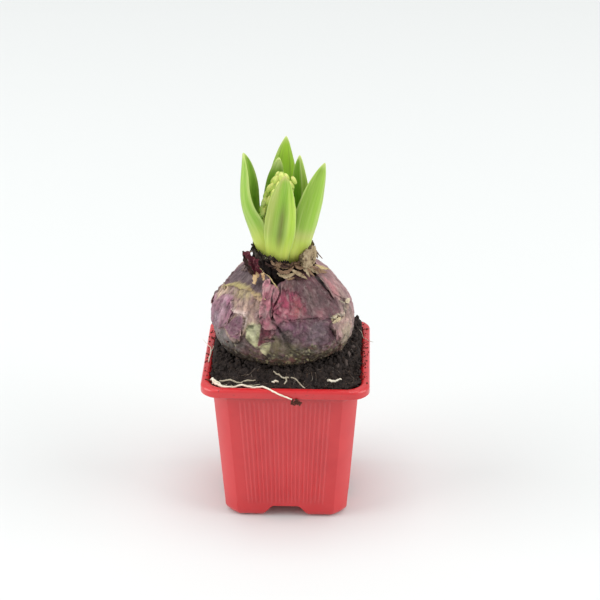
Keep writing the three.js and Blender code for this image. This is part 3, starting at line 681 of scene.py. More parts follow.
def make_pot(plastic):
    pot = tube("square_pot", 1080, POT_ROWS)
    shape_tube(pot, pot_form)
    close(pot, 0.02)
    drills = []
    for x, y in ((0, 0), (1, 0), (-1, 0), (0, 1), (0, -1)):
        leave_all()
        bpy.ops.mesh.primitive_cylinder_add(
            vertices=24, radius=DRAIN_RADIUS * MM, depth=DRAIN_DEPTH * MM,
            location=(x * DRAIN_OFFSET * MM, y * DRAIN_OFFSET * MM, 0))
        drills.append(name_new("drill"))
    drills = join("drills", drills)
    modify(pot, "BOOLEAN", object=drills, operation="DIFFERENCE", solver="EXACT", use_hole_tolerant=True)
    bpy.data.objects.remove(drills)
    return dress(pot, plastic, "pot_plastic", "pot", angle=35)


# Bulb: sheets of torn skin, each with how far it stands proud, how crumpled and how veined it is, its
# colour, a second colour that clouds over it, the colour of its dry edge, and its outline as degrees
# round the bulb and height. Later sheets lie over earlier ones.
PLUM, MAUVE = shade(100, 62, 76), shade(122, 84, 98)
DUSTY, PINK = shade(120, 98, 104), shade(184, 132, 148)
MAGENTA, BURGUNDY = shade(150, 58, 88), shade(116, 44, 60)
TAN, STRAW, CREAM = shade(212, 182, 156), shade(194, 176, 116), shade(218, 214, 166)
UMBER = shade(54, 38, 38)
SHEETS = [
    ("shoulder", 0.5, 0.4, 0.3, DUSTY, shade(98, 78, 84), shade(132, 106, 100),
     [(-188, 107), (-176, 107), (-150, 107), (-120, 107), (-101, 104), (-104, 99), (-118, 98), (-136, 99.5),
      (-168, 98), (-188, 98)]),
    ("under_tan", 0.2, 0.5, 0.2, shade(128, 96, 96), shade(96, 72, 70), TAN,
     [(-126, 92), (-108, 94), (-104, 86), (-106, 74), (-122, 73), (-132, 78)]),
    ("pale_scale", 0.3, 0.45, 0.1, CREAM, shade(196, 196, 142), shade(230, 226, 188),
     [(-119, 89.9), (-108, 90.8), (-106.5, 85), (-107, 80.6), (-112, 79.8), (-119, 83.5)]),
    ("pale_scale_low", 0.3, 0.35, 0.1, CREAM, shade(206, 202, 148), shade(228, 224, 184),
     [(-108, 80.7), (-97.5, 82.5), (-98.6, 79.5), (-101.4, 76.6), (-105.5, 77.6)]),
    ("tan_patch", 0.6, 0.65, 0.1, TAN, shade(164, 128, 124), STRAW,
     [(-192, 93), (-178, 94.9), (-170, 97.3), (-155, 99.9), (-143, 100.3), (-123, 100.1), (-112, 99.4),
      (-107.5, 94), (-109, 89.8), (-118, 88.5), (-122, 84), (-126, 80), (-150, 78), (-192, 80)]),
    ("left_pink", 0.85, 0.65, 0.35, PINK, shade(146, 96, 116), shade(204, 168, 176),
     [(-192, 90), (-172, 90), (-165, 94), (-150, 96.6), (-146, 96), (-145, 94.4), (-139, 92.6), (-135, 91.5),
      (-137, 88.9), (-142, 85.2), (-150, 82), (-165, 80), (-192, 80)]),
    ("lozenge", 0.8, 0.5, 0.2, shade(140, 90, 112), shade(112, 70, 88), shade(188, 158, 156),
     [(-142, 85.2), (-135, 88.7), (-132, 91.0), (-125, 92.1), (-122, 89.6), (-123, 86.3), (-127, 83.2),
      (-136, 82.2)]),
    ("left_grey", 0.25, 0.4, 0.6, shade(136, 116, 122), shade(104, 100, 94), shade(156, 142, 138),
     [(-192, 81), (-165, 81), (-143, 83), (-134, 80), (-124, 77), (-136, 70), (-192, 68)]),
    ("burgundy_tongue", 0.55, 0.6, 0.2, BURGUNDY, shade(140, 66, 82), shade(164, 104, 108),
     [(-106.5, 89.4), (-96, 89.9), (-93.6, 87.6), (-97, 85), (-100, 83.4), (-104, 81.6), (-107.6, 79.4),
      (-107.4, 84.6)]),
    ("torn_strip", 1.5, 0.7, 0.1, shade(194, 126, 136), shade(166, 86, 104), shade(222, 172, 170),
     [(-114, 103.6), (-99, 103.8), (-90, 101.6), (-94, 99.1), (-97.4, 96.8), (-98.4, 94.4), (-98, 92.4),
      (-90, 91.0), (-94, 88.6), (-106, 89.2), (-109.6, 91.6), (-108.4, 94), (-111.4, 97.0), (-109.4, 99.4),
      (-112, 101.8)]),
    ("big_sheet", 1.15, 0.5, 0.4, shade(122, 76, 84), shade(98, 64, 70), shade(158, 118, 118),
     [(-90, 103.6), (-88, 105), (-71, 107), (-53, 107), (-33, 106), (-31, 99.5), (-24, 94),
      (-12, 90), (-24, 87), (-40, 89), (-50, 86), (-47, 81), (-56, 77), (-70, 76), (-82, 81), (-88, 86),
      (-93, 90), (-96.6, 92.6), (-97, 96), (-94, 98.3), (-91, 100.6)]),
    ("magenta_cloud", 0.02, 0.8, 0.1, MAGENTA, shade(166, 78, 98), MAGENTA,
     [(-96, 98.4), (-89, 102), (-78, 102), (-70, 100.3), (-66, 97.1), (-69, 93.3), (-81, 92.4), (-96, 93.6)]),
    ("salmon_spot", 0.0, 0.6, 0.1, shade(182, 100, 98), shade(164, 82, 92), MAGENTA,
     [(-79, 98), (-72, 98.5), (-69, 94.5), (-75, 92.8), (-79.4, 94)]),
    ("smudge", 0.0, 0.5, 0.2, shade(84, 58, 60), shade(110, 78, 82), MAUVE,
     [(-66, 101), (-50, 102), (-38, 99), (-34, 94), (-46, 92.6), (-60, 93.5)]),
    ("big_sheet_low", 0.0, 0.6, 0.4, shade(114, 72, 88), shade(88, 62, 70), shade(122, 84, 94),
     [(-94, 91.5), (-79, 91.8), (-57, 91.4), (-42, 89), (-44, 78), (-60, 73), (-76, 75), (-88, 84)]),
    ("right_skin", 0.7, 0.35, 0.6, shade(182, 144, 142), shade(160, 120, 122), shade(206, 178, 160),
     [(-29, 106.6), (4, 107.6), (34, 108), (44, 92), (36, 74), (6, 68), (-16, 68), (-30, 72), (-36, 80),
      (-44, 84), (-42, 87), (-30, 88), (-12, 92), (-24, 97)]),
    ("right_pink", 0.0, 0.4, 0.5, shade(178, 138, 136), shade(160, 120, 122), PINK,
     [(-28, 101), (-14, 104), (-4, 98), (-10, 92), (-22, 95)]),
    ("right_straw", 0.3, 1.0, 0.1, shade(202, 184, 138), shade(184, 150, 132), shade(232, 220, 188),
     [(-43, 89.9), (-35, 90), (-25, 89.4), (-19, 92.5), (-15, 90.4), (-20, 86.8), (-36, 86.6), (-42, 87.8)]),
    ("right_pale", 0.1, 0.5, 0.6, shade(174, 150, 136), shade(150, 124, 116), shade(200, 184, 156),
     [(-38, 87), (-24, 86), (-12, 89), (-4, 82), (-8, 73), (-28, 71), (-36, 76), (-33, 81)]),
    ("back_skin", 0.7, 0.4, 0.6, shade(124, 84, 100), shade(98, 72, 82), TAN,
     [(40, 108), (88, 108), (118, 107), (106, 84), (84, 72.5), (56, 70), (38, 78)]),
    ("back_left_skin", 1.0, 0.6, 0.5, shade(120, 88, 98), shade(146, 104, 118), shade(170, 142, 132),
     [(98, 108), (140, 108), (172, 107), (170, 88), (158, 74), (124, 71.5), (106, 80), (116, 94)]),
    ("back_patch", 0.8, 0.9, 0.3, shade(158, 120, 128), MAUVE, STRAW,
     [(60, 90), (80, 94), (94, 86), (76, 78), (62, 82)]),
    ("back_straw", 0.2, 0.9, 0.1, STRAW, TAN, shade(214, 196, 150),
     [(122, 100), (150, 101), (158, 96), (140, 94), (126, 95)]),
]
# Soft stains over the skin, among them a few painted highlights and a patch of painted shade: degrees round
# the bulb, height, half width, half height, tilt, colour, share
STAINS_AND_PAINTED_LIGHT = [
    (-22, 85.0, 7.0, 9.0, 0, shade(200, 158, 148), 0.5), (-92, 96.0, 5.0, 4.0, 0, shade(190, 116, 128), 0.35),
    # Painted shade: the near-black patch at -29 degrees is the shade inside a tear.
    (-29, 101.7, 3.2, 1.7, 62, shade(26, 17, 18), 1.0), (-20, 97.6, 3.0, 4.0, 0, shade(178, 122, 120), 0.6),
    (-24, 91.5, 3.4, 3.4, 20, shade(206, 174, 166), 0.6),
    (-150, 103.4, 7, 2.2, 0, shade(86, 72, 74), 0.7), (-131, 104.6, 4, 1.6, 0, shade(142, 122, 130), 0.5),
    (-117, 102.4, 4, 1.6, 10, shade(64, 46, 50), 0.7), (-139, 98.0, 9, 2.2, 0, shade(178, 162, 112), 0.75),
    # Painted highlight: the thin pale line at -127 degrees.
    (-128, 94.6, 5, 2.6, 0, shade(196, 162, 148), 0.7), (-127, 92.2, 4, 1.0, 10, shade(220, 192, 184), 0.6),
    # Painted highlight: the pink-white patch at -154 degrees.
    (-118, 95.6, 3, 3.4, 0, shade(150, 112, 104), 0.6), (-154, 92.0, 3, 4.5, 10, shade(212, 172, 186), 0.7),
    (-160, 85.0, 4, 3.5, 0, shade(156, 136, 152), 0.6), (-130, 86.4, 3, 2.4, 0, shade(110, 72, 86), 0.6),
    (-113, 86.0, 2.4, 3.6, 0, shade(214, 214, 170), 0.8), (-115, 88.4, 1.0, 0.8, 30, shade(74, 76, 48), 0.8),
    (-117, 82.6, 1.6, 1.8, 0, shade(86, 88, 54), 0.7), (-106, 102.6, 3.4, 1.4, 0, shade(206, 142, 152), 0.8),
    (-104, 91.4, 2.6, 2.6, 0, shade(150, 70, 92), 0.6), (-87, 97.0, 5.0, 3.4, 0, shade(160, 50, 84), 0.7),
    (-78, 103.2, 7, 1.6, 6, shade(112, 80, 76), 0.6), (-58, 97.6, 4.6, 3.4, -20, shade(92, 70, 68), 0.6),
    (-50, 92.8, 3.4, 2.4, 0, shade(160, 106, 112), 0.5), (-20, 98.4, 2.6, 4.4, 0, shade(190, 122, 128), 0.6),
    (-10, 90.0, 3, 6, 0, shade(168, 144, 136), 0.6), (-76, 88.0, 8, 1.8, 0, shade(128, 84, 106), 0.6),
    (-60, 84.6, 5, 4.4, 0, shade(130, 112, 120), 0.6), (-103, 86.0, 2.4, 2.4, 0, shade(104, 38, 54), 0.7),
    (-88, 80.6, 7, 4.0, 0, shade(104, 98, 66), 0.85), (-70, 77.0, 9, 3.4, 0, shade(100, 98, 72), 0.85),
    (-86, 84.8, 2.4, 3.4, 10, shade(62, 50, 38), 0.85), (-140, 77.4, 6, 3.0, 0, shade(104, 112, 98), 0.5),
    (-125, 79.4, 4, 2.6, -20, shade(50, 46, 36), 0.85), (-24, 78.0, 4, 5.0, 0, shade(182, 170, 138), 0.7),
    (-47, 76.4, 4, 2.6, 0, shade(96, 62, 74), 0.7), (-176, 84, 5, 4, 0, shade(150, 120, 136), 0.5),
    (60, 100, 9, 3, 0, shade(90, 66, 72), 0.6), (20, 84, 6, 5, 0, shade(150, 118, 120), 0.6),
    (78, 84, 7, 5, 10, shade(150, 104, 120), 0.6), (118, 92, 6, 5, 0, shade(96, 66, 76), 0.6),
    (150, 86, 7, 4, -10, shade(166, 128, 136), 0.6), (100, 76, 9, 3.4, 0, shade(104, 98, 72), 0.8),
]
# Cracks and dark tears in the skin, their near-black colour painted shade in the gaps: half width and the
# line they follow
CRACKS = [
    (0.16, [(-96, 94.3), (-91, 93.0), (-84, 92.2), (-74, 91.8), (-64, 91.4), (-52, 90.8)]),
    (1.7, [(-33, 104.6), (-32.5, 101.5), (-30.5, 99.5), (-27.5, 97)]),
    (0.5, [(-17.5, 92.4), (-18.5, 91), (-20, 89.4), (-22, 87.2)]),
    (0.35, [(-36, 88.6), (-33, 87.6), (-30, 88)]),
    (0.42, [(-99.5, 102), (-100, 99.5), (-98.6, 97), (-99.4, 94.5), (-98, 92)]),
    (0.6, [(-98, 92.4), (-94, 90.4), (-90, 87.5), (-87, 86)]),
    (0.3, [(-46, 86), (-43, 83.5), (-40, 81), (-37, 77)]),
    (0.45, [(-110.5, 92.6), (-108.5, 92.0), (-107, 92.8)]),
    (0.35, [(-103, 84), (-99, 84.4), (-95, 84)]),
    (0.3, [(-146, 95.5), (-147, 92), (-145, 89)]),
    (0.28, [(30, 104), (26, 96), (29, 88), (24, 80)]),
    (0.3, [(96, 103), (101, 95), (97, 88)]),
]
# Dry torn edges that stand up: half width, lift, colour and the line they follow
RIDGES = [
    (0.55, 0.9, shade(206, 190, 124),
     [(-180, 94.6), (-170, 97.3), (-155, 99.9), (-143, 100.4), (-133, 100.6)]),
    (0.4, 0.7, shade(196, 170, 116), [(-133, 100.6), (-123, 100.1), (-115, 99.6), (-110, 98.9)]),
    (0.4, 0.5, shade(224, 200, 190), [(-139, 92.4), (-132, 91.8), (-125, 92.7), (-121, 91), (-120.6, 88)]),
    (0.3, 0.5, shade(226, 214, 184),
     [(-43, 89.8), (-35, 89.6), (-27, 88.6), (-21, 89.6), (-20, 92), (-23, 94)]),
    (0.35, 0.6, shade(218, 168, 168), [(-112.6, 103), (-110.6, 101), (-109.6, 98.6), (-111, 96.6)]),
    (0.3, 0.4, shade(216, 210, 168), [(-106.4, 81), (-103, 82), (-99, 82.6)]),
    (0.35, 0.5, shade(204, 182, 140), [(120, 100.6), (134, 101.4), (150, 101.2), (158, 97)]),
    (0.3, 0.5, shade(196, 170, 150), [(60, 90.4), (70, 92.6), (81, 94.2), (90, 90)]),
]
WRAP = 28.0  # turns degrees into millimetres along the skin
SKIN_TOP = 0.80  # share of the bulb's rows that lie on its outer skin


def line_distance(arc, z, start, end):
    ax, ay = end[0] - start[0], end[1] - start[1]
    share = np.clip(((arc - start[0]) * ax + (z - start[1]) * ay) / (ax * ax + ay * ay + 1e-9), 0, 1)
    return np.hypot(arc - start[0] - share * ax, z - start[1] - share * ay)


def skin_line_distance(line, arc, z):
    """How far each point lies from a line that is given as degrees and heights."""
    stops = [(math.radians(degrees) * WRAP, height) for degrees, height in line]
    return np.min([line_distance(arc, z, a, b) for a, b in zip(stops, stops[1:])], 0)


def outline_distance(arc, z, outline):
    """How far each point lies inside (above 0) or outside an outline, in millimetres."""
    corners = np.array([(math.radians(degrees) * WRAP, height) for degrees, height in outline])
    nearest = np.full(len(arc), 1e9)
    inside = np.zeros(len(arc), bool)
    for (x0, y0), (x1, y1) in zip(corners, np.roll(corners, -1, axis=0)):
        nearest = np.minimum(nearest, line_distance(arc, z, (x0, y0), (x1, y1)))
        crosses = (y0 > z) != (y1 > z)
        level = np.where(crosses, z, y0 + 1)
        inside ^= crosses & (arc < (x1 - x0) * (level - y0) / (y1 - y0 if y1 != y0 else 1) + x0)
    return np.where(inside, nearest, -nearest)


def folds(place, size, seed):
    """Sharp creases between soft swellings, from 0 in a crease to 1."""
    place = place / size
    warp = np.stack([wander(place + 9 * i, seed + 50 + i) for i in range(3)], 1)
    return np.clip(np.abs(wander(place + 0.35 * warp, seed)) * 2.2, 0, 1) ** 0.6


def lay_sheet(skin, place, folded, z, sheet, seed):
    """Lays one torn sheet over the skin so far."""
    name, thick, crumpled, lined, main, second, edge, outline = sheet
    distance = -1e9
    for lap in (-360, 0, 360):
        arc = np.radians(folded + lap) * WRAP
        distance = np.maximum(distance, outline_distance(arc + skin["slip"], z + 0.5 * skin["slip"], outline))
    distance = distance + skin["ragged"] * (0.6 if thick > 0.15 else 1.6)
    on = smooth(-0.14, 0.2, distance)
    curl = 0.95 * np.exp(-np.maximum(distance, 0) / 0.9) * (thick > 0.3) * skin["broken"]
    skin["proud"] = skin["proud"] * (1 - 0.5 * on) + (thick + curl) * on
    soft = 0.3 if thick > 0.1 else 2.2
    cover = smooth(-soft, soft, distance)
    local = smooth(-0.35, 0.45, 1.0 * skin["cloud"] + 0.5 * wander(place / 2.2, seed))
    own = tint_mix(np.tile(main, (len(z), 1)), second, local)
    rim = np.exp(-np.maximum(distance, 0) / 0.5) * (thick > 0.1)
    own = tint_mix(own, edge, 0.95 * rim * skin["broken"])
    skin["tint"] = skin["tint"] * (1 - cover[:, None]) + own * cover[:, None]
    skin["crumple"], skin["veined"] = mix(skin["crumple"], crumpled, cover), mix(skin["veined"], lined, cover)
    skin["clean"] = np.maximum(skin["clean"] * (1 - cover), cover * name.startswith("pale"))
    if thick > 0.15:
        # Painted shadow: the skin just outside a raised sheet's edge is darkened.
        shadow = np.exp(-np.maximum(-distance, 0) / 0.42) * (distance < 0.02)
        crack = skin["crack"] * (1 - smooth(-0.1, 0.2, distance))
        skin["crack"] = np.maximum(crack, shadow * min(0.95, thick + 0.1) * (0.25 + 0.75 * skin["broken"]))


def stain_and_light_skin(skin, place, folded, z):
    streaks = np.column_stack([place[:, :2] / 1.1, z / 5])
    for index, (around, height, wide, high, tilt, colour, share) in enumerate(STAINS_AND_PAINTED_LIGHT):
        across = np.radians((folded - around + 180) % 360 - 180) * WRAP
        tilted = math.radians(tilt)
        along = across * math.cos(tilted) + (z - height) * math.sin(tilted)
        rise = (z - height) * math.cos(tilted) - across * math.sin(tilted)
        size = np.hypot(along / wide, rise / high) + 0.7 * skin["cloud"]
        size = size + 0.3 * wander(place / 1.4, 90 + index)
        spread = smooth(1.35, 0.45, size + 0.1 * wander(streaks, 91))
        skin["tint"] = tint_mix(skin["tint"], colour, share * spread)


def crack_skin(skin, folded, z):
    """Cuts the cracks into the skin, darkens them with painted shade, and raises the torn edges."""
    arc, slip, ragged, broken = np.radians(folded) * WRAP, skin["slip"], skin["ragged"], skin["broken"]
    for width, line in CRACKS:
        near = skin_line_distance(line, arc + 0.9 * slip + 0.3 * ragged, z + 0.5 * ragged)
        gap = smooth(width * (1.1 + broken), width * 0.3, near)
        skin["proud"] = skin["proud"] - 0.6 * gap
        skin["crack"] = np.maximum(skin["crack"], gap * (0.55 + 0.4 * broken) * min(1, 0.25 + 1.6 * width))
    for width, lift, colour, line in RIDGES:
        near = skin_line_distance(line, arc + 0.8 * ragged, z + 0.9 * ragged)
        ridge = smooth(width * (1.2 + broken), width * 0.35, near)
        skin["proud"] = skin["proud"] + lift * ridge
        skin["tint"] = tint_mix(skin["tint"], colour, 0.9 * ridge)
        skin["crack"] = skin["crack"] * (1 - ridge)


def crumple_skin(skin, place, z):
    """Folds and veins over the whole skin, with painted shade in the creases and darker smudges and veins."""
    large, small = folds(place * (1, 1, 0.75), 3.8, 61), folds(place, 1.5, 62)
    veins = smooth(0.16, 0.02, np.abs(wander(np.column_stack([place[:, :2] / 1.9, z / 26]), 63)))
    veins = veins * np.clip(0.45 + wander(place / 6, 64), 0, 1)
    crumple, veined, tint = skin["crumple"], skin["veined"], skin["tint"]
    lift = crumple * (0.9 * (large - 0.6) + 0.6 * (small - 0.6))
    skin["proud"] = skin["proud"] + lift - 0.1 * veined * veins
    crease_shade = np.clip(1 - 0.6 * large - 0.4 * small, 0, 1)
    # Painted shade darkens the creases between the folds.
    tint = tint * (1 - np.clip(1.1 * crumple * crease_shade, 0, 0.7))[:, None]
    tint = tint_mix(tint, shade(220, 196, 190), 0.26 * crumple * smooth(0.0, 0.6, rough(place / 2.6, 82, 3)))
    tint = tint_mix(tint, UMBER, 0.42 * smooth(0.1, 0.7, rough(place / 2.8, 81, 3)))
    tint = tint_mix(tint, UMBER, np.clip(0.35 * veined * veins, 0, 1))
    skin["tint"] = tint * (1 + 0.3 * rough(place / 7, 94, 3) + 0.16 * wander(place / 3.2, 95))[:, None]


def soil_skin(skin, place, folded, z):
    """Dirt over the skin, and a darker band at its foot, next to the soil."""
    cloud = skin["cloud"]
    front = 0.5 + 0.5 * np.cos(np.radians(folded + 80))
    dirt = smooth(86, 70, z + 5 * cloud) * (0.35 + 0.65 * front)
    dirt = np.maximum(dirt, 0.9 * smooth(75, 67, z + 2.5 * cloud))
    earth = np.tile(shade(80, 73, 54), (len(z), 1))
    earth = tint_mix(earth, shade(44, 38, 31), smooth(-0.1, 0.3, rough(place / 2.4, 85)))
    earth = tint_mix(earth, shade(156, 150, 112), smooth(0.18, 0.5, rough(place / 1.3, 86)))
    earth = tint_mix(earth, shade(108, 74, 66), smooth(0.15, 0.45, wander(place / 2.8, 87)))
    soiled = smooth(0.35, 0.75, dirt + 0.45 * rough(place / 1.8, 88)) * (1 - 0.6 * skin["clean"])
    heaped = 5.5 * bell(folded, LEFT_FRONT, 26)
    # Darker towards the foot, next to the soil, and higher where the soil is heaped.
    dark_foot = smooth(73.5, 68.5, z - heaped + 3.4 * cloud + 1.6 * wander(place / 1.6, 92))
    tint = tint_mix(skin["tint"], earth, 0.92 * soiled)
    skin["tint"] = tint_mix(tint, shade(40, 35, 31), 0.85 * dark_foot)
    skin["proud"] = skin["proud"] + 0.45 * soiled * rough(place / 1.3, 89)
    skin["dirt"] = 0.45 * dirt * (1 - skin["clean"])
    skin["veined"] = skin["veined"] * (1 - 0.7 * soiled)


def skin_relief(degrees, z):
    """How far the torn sheets stand proud, and their tint with its painted highlights and shade, their cracks
    and dirt, all over the bulb.
    """
    turn, count = np.radians(degrees), len(z)
    place = np.stack([WRAP * np.cos(turn), WRAP * np.sin(turn), z], 1)
    folded = (degrees + 192) % 360 - 192
    cloud = rough(place / 5.0, 15, 4)
    ragged = 0.6 * wander(place / 3.1, 11) + 0.5 * wander(place / 1.3, 12) + 0.35 * wander(place / 0.6, 13)
    tint = tint_mix(np.tile(PLUM, (count, 1)), shade(130, 98, 106), np.clip(0.4 + 0.7 * cloud, 0, 1))
    skin = {
        "cloud": cloud, "tint": tint, "proud": np.zeros(count), "crack": np.zeros(count),
        "crumple": np.full(count, 0.4), "veined": np.full(count, 0.5), "clean": np.zeros(count),
        "ragged": ragged, "slip": 0.5 * wander(place / 4.0, 14),
        "broken": np.clip(0.5 + 1.1 * wander(place / 2.4, 17), 0, 1),
    }
    for index, sheet in enumerate(SHEETS):
        lay_sheet(skin, place, folded, z, sheet, 30 + index)
    stain_and_light_skin(skin, place, folded, z)
    crack_skin(skin, folded, z)
    crumple_skin(skin, place, z)
    soil_skin(skin, place, folded, z)
    return skin


def bulb_form(u, v):
    degrees = u * 360
    turn = u * 2 * math.pi
    ring = np.stack([np.cos(turn), np.sin(turn)], 1)

    def circle(size, seed):
        return wander(np.column_stack([ring * size, 0 * u + seed]), seed)

    lip = round_value(LIP_EDGE, degrees) + 0.7 * circle(8, 3) + 0.45 * circle(22, 4)
    lip_radius = table_value(BULB_OUTLINE, lip)
    neck_top = 113.0 + 1.1 * circle(5, 5) - 3.4 * smooth(0.45, 0.98, np.cos(np.radians(degrees + 68)))
    floor = np.maximum(lip - 3.6, 98.6)
    stations = [
        (0.00, 0 * u, 57 + 0 * u), (0.01, 8.4 + 0 * u, 57 + 0 * u), (SKIN_TOP, lip_radius, lip),
        (SKIN_TOP + 0.01, lip_radius - 0.6, lip - 0.1),
        (0.845, np.maximum(lip_radius - 2.6, 11.2), floor + 0.4),
        (0.86, 11.6 + 0 * u, floor), (0.90, 10.9 + 0 * u, 108 + 0 * u),
        (0.93, 11.7 + 0.4 * np.sin(turn * 7), neck_top), (0.94, 11.1 + 0 * u, neck_top),
        (0.96, 9.9 + 0 * u, 104 + 0 * u), (0.98, 9.8 + 0 * u, 100.2 + 0 * u), (1.0, 0 * u, 100.2 + 0 * u),
    ]
    radius, z = 0 * u, 0 * u
    for (low, r0, z0), (high, r1, z1) in zip(stations, stations[1:]):
        share = np.clip((v - low) / (high - low), 0, 1)
        here = (v >= low) & (v <= high)
        z = np.where(here, mix(z0, z1, share), z)
        radius = np.where(here, mix(r0, r1, share), radius)
    skin = (v >= 0.01) & (v <= SKIN_TOP + 0.011)
    radius = np.where(skin & (v <= SKIN_TOP), table_value(BULB_OUTLINE, z), radius)
    place = np.column_stack([ring * 2.2, z / 14])
    relief = skin_relief(degrees, z)
    swell = 0.5 * wander(place, 21)
    fine = 0.1 * rough(np.column_stack([ring * 30, z / 1.4]), 23)
    spread = smooth(108.5, 101, z)
    inner_lumps = 0.5 * rough(np.column_stack([ring * 8, z / 2]), 24)
    inner_lumps = inner_lumps * smooth(SKIN_TOP, SKIN_TOP + 0.02, v) * smooth(0.95, 0.93, v)
    radius = radius + np.where(skin, -0.85 + spread * (relief["proud"] + swell + fine), inner_lumps)
    inner = v > SKIN_TOP + 0.006
    arc = np.where(skin, 1.6 * (z - 57), z)
    return polar(degrees, np.maximum(radius, 0), z), {
        # Inside the neck's hollow: dark brown, with painted shade deepening towards the bottom.
        "skin_tint": np.where(inner[:, None], np.array(shade(52, 36, 34)), relief["tint"]),
        "skin_crack": np.where(inner, 0.3 + 0.6 * smooth(108, 102, z), relief["crack"]),
        "skin_dirt": np.where(inner, 0.35, relief["dirt"]),
        "skin_veined": relief["veined"],
        "skin_place": np.column_stack([ring * 30, arc]),
    }


def make_bulb(skin):
    bulb = tube("bulb_in_skins", 500, 190)
    shape_tube(bulb, bulb_form)
    close(bulb, 0.02)
    return dress(bulb, skin, "bulb_skin", "bulb", angle=60)


# Loose flakes of skin: place on the bulb, width, height, how far the free edge lifts, the way that
# edge points (degrees from straight up, clockwise), colour and dry edge
FLAKES = [
    (-109.5, 102.6, 3.4, 4.0, 1.2, -30, shade(184, 120, 132), shade(222, 178, 176)),
    (-174, 95.6, 6.0, 1.6, 1.0, -30, shade(150, 124, 96), shade(206, 190, 140)),
    (-170, 104.4, 6.0, 2.4, 1.1, -10, shade(96, 74, 70), shade(70, 52, 46)),
    (-152, 105.4, 5.0, 2.0, 1.0, 14, shade(112, 88, 88), shade(150, 126, 112)),
    (-124, 84.6, 1.8, 5.4, 0.9, 96, shade(130, 92, 100), shade(196, 170, 160)),
    (-113, 98.6, 5.0, 1.5, 1.0, 40, shade(170, 140, 110), shade(206, 180, 140)),
    (-139.5, 89.6, 2.8, 7.0, 1.0, 100, shade(146, 98, 114), shade(184, 152, 150)),
    (-128, 83.2, 6.0, 2.2, 1.0, 170, shade(120, 76, 92), shade(160, 132, 126)),
    (-13, 91.2, 3.2, 3.6, 1.6, 30, shade(212, 196, 164), shade(236, 226, 200)),
    (-38, 88.2, 5.5, 1.8, 1.0, -40, shade(196, 178, 140), shade(226, 214, 176)),
    (-41, 82.4, 2.2, 5.5, 1.1, -80, shade(136, 96, 98), shade(184, 156, 142)),
    (-29.5, 99.5, 2.2, 7.5, 1.3, -86, shade(140, 106, 106), shade(186, 162, 144)),
    (66, 91.0, 9.0, 3.0, 1.5, 10, shade(150, 116, 116), shade(200, 178, 140)),
    (100, 96.0, 3.0, 9.0, 1.3, -90, shade(120, 86, 92), shade(176, 148, 132)),
    (135, 98.6, 9.0, 2.6, 1.4, 0, shade(190, 168, 116), shade(214, 198, 150)),
    (170, 86.0, 3.0, 7.0, 1.3, 80, shade(140, 100, 106), shade(186, 156, 146)),
]


def flake_form(degrees, z, width, height, lift, heading, main, edge, seed):
    def form(u, v):
        a, b = 2 * u - 1, 2 * v - 1
        # a square is drawn in to a round, then its outline is torn
        x, y = a * np.sqrt(1 - b * b / 2), b * np.sqrt(1 - a * a / 2)
        size = np.hypot(x, y)
        way = np.column_stack([x, y, 0 * x]) / (size[:, None] + 1e-6)
        torn = 0.92 + 0.5 * wander(way * 1.9 + seed * 3.1, 71) + 0.32 * wander(way * 4.6 + seed, 72)
        torn = torn + 0.2 * wander(way * 11 + seed, 73)
        x, y = x * torn, y * torn
        point = math.radians(heading)
        free = x * math.sin(point) + y * math.cos(point)
        rise = lift * smooth(-0.55, 1.15, free) ** 1.5 + 0.1 * np.clip(1 - size, 0, 1)
        curl = 0.35 * lift * smooth(0.75, 1.2, free)
        height_at = z + y * height / 2 - 0.25 * curl * math.cos(point)
        radius = table_value(BULB_OUTLINE, height_at)
        around = degrees + np.degrees(x * width / 2 / np.maximum(radius, 8))
        place = np.column_stack([x * width / 2, y * height / 2, 0 * x + seed * 5])
        wave = 0.3 * wander(place / 1.5, 74) + 0.14 * wander(place / 0.7, 75)
        out = rise + 0.2 + 0.8 * wave * smooth(-0.8, 0.2, free)
        steep = smooth(92, 104, height_at)
        points = polar(around, radius + out * (1 - 0.5 * steep), height_at + 0.7 * out * steep)
        dry = smooth(0.7, 1.0, size) * smooth(-0.2, 0.6, free) * np.clip(0.5 + wander(place / 1.2, 77), 0, 1)
        tint = tint_mix(np.tile(main, (len(u), 1)), edge, dry)
        tint = tint * (1 - 0.55 * smooth(0.0, 0.6, rough(place / 1.8, 76)))[:, None]
        return points, {"skin_tint": tint, "skin_crack": 0 * u, "skin_dirt": 0.25 * smooth(84, 74, height_at),
                        "skin_veined": 0.3 + 0 * u,
                        "skin_place": np.column_stack([place[:, 0] + seed * 11, place[:, 2], place[:, 1]])}
    return form


def make_flakes(skin):
    for seed, (degrees, z, width, height, lift, heading, main, edge) in enumerate(FLAKES):
        flake = strip("skin_flake_%02d" % (seed + 1), 26, 26)
        shape_strip(flake, flake_form(degrees, z, width, height, lift, heading, main, edge, seed))
        thicken(flake, 0.22, offset=1)
        dress(flake, skin, "bulb_skin", "bulb", angle=50)


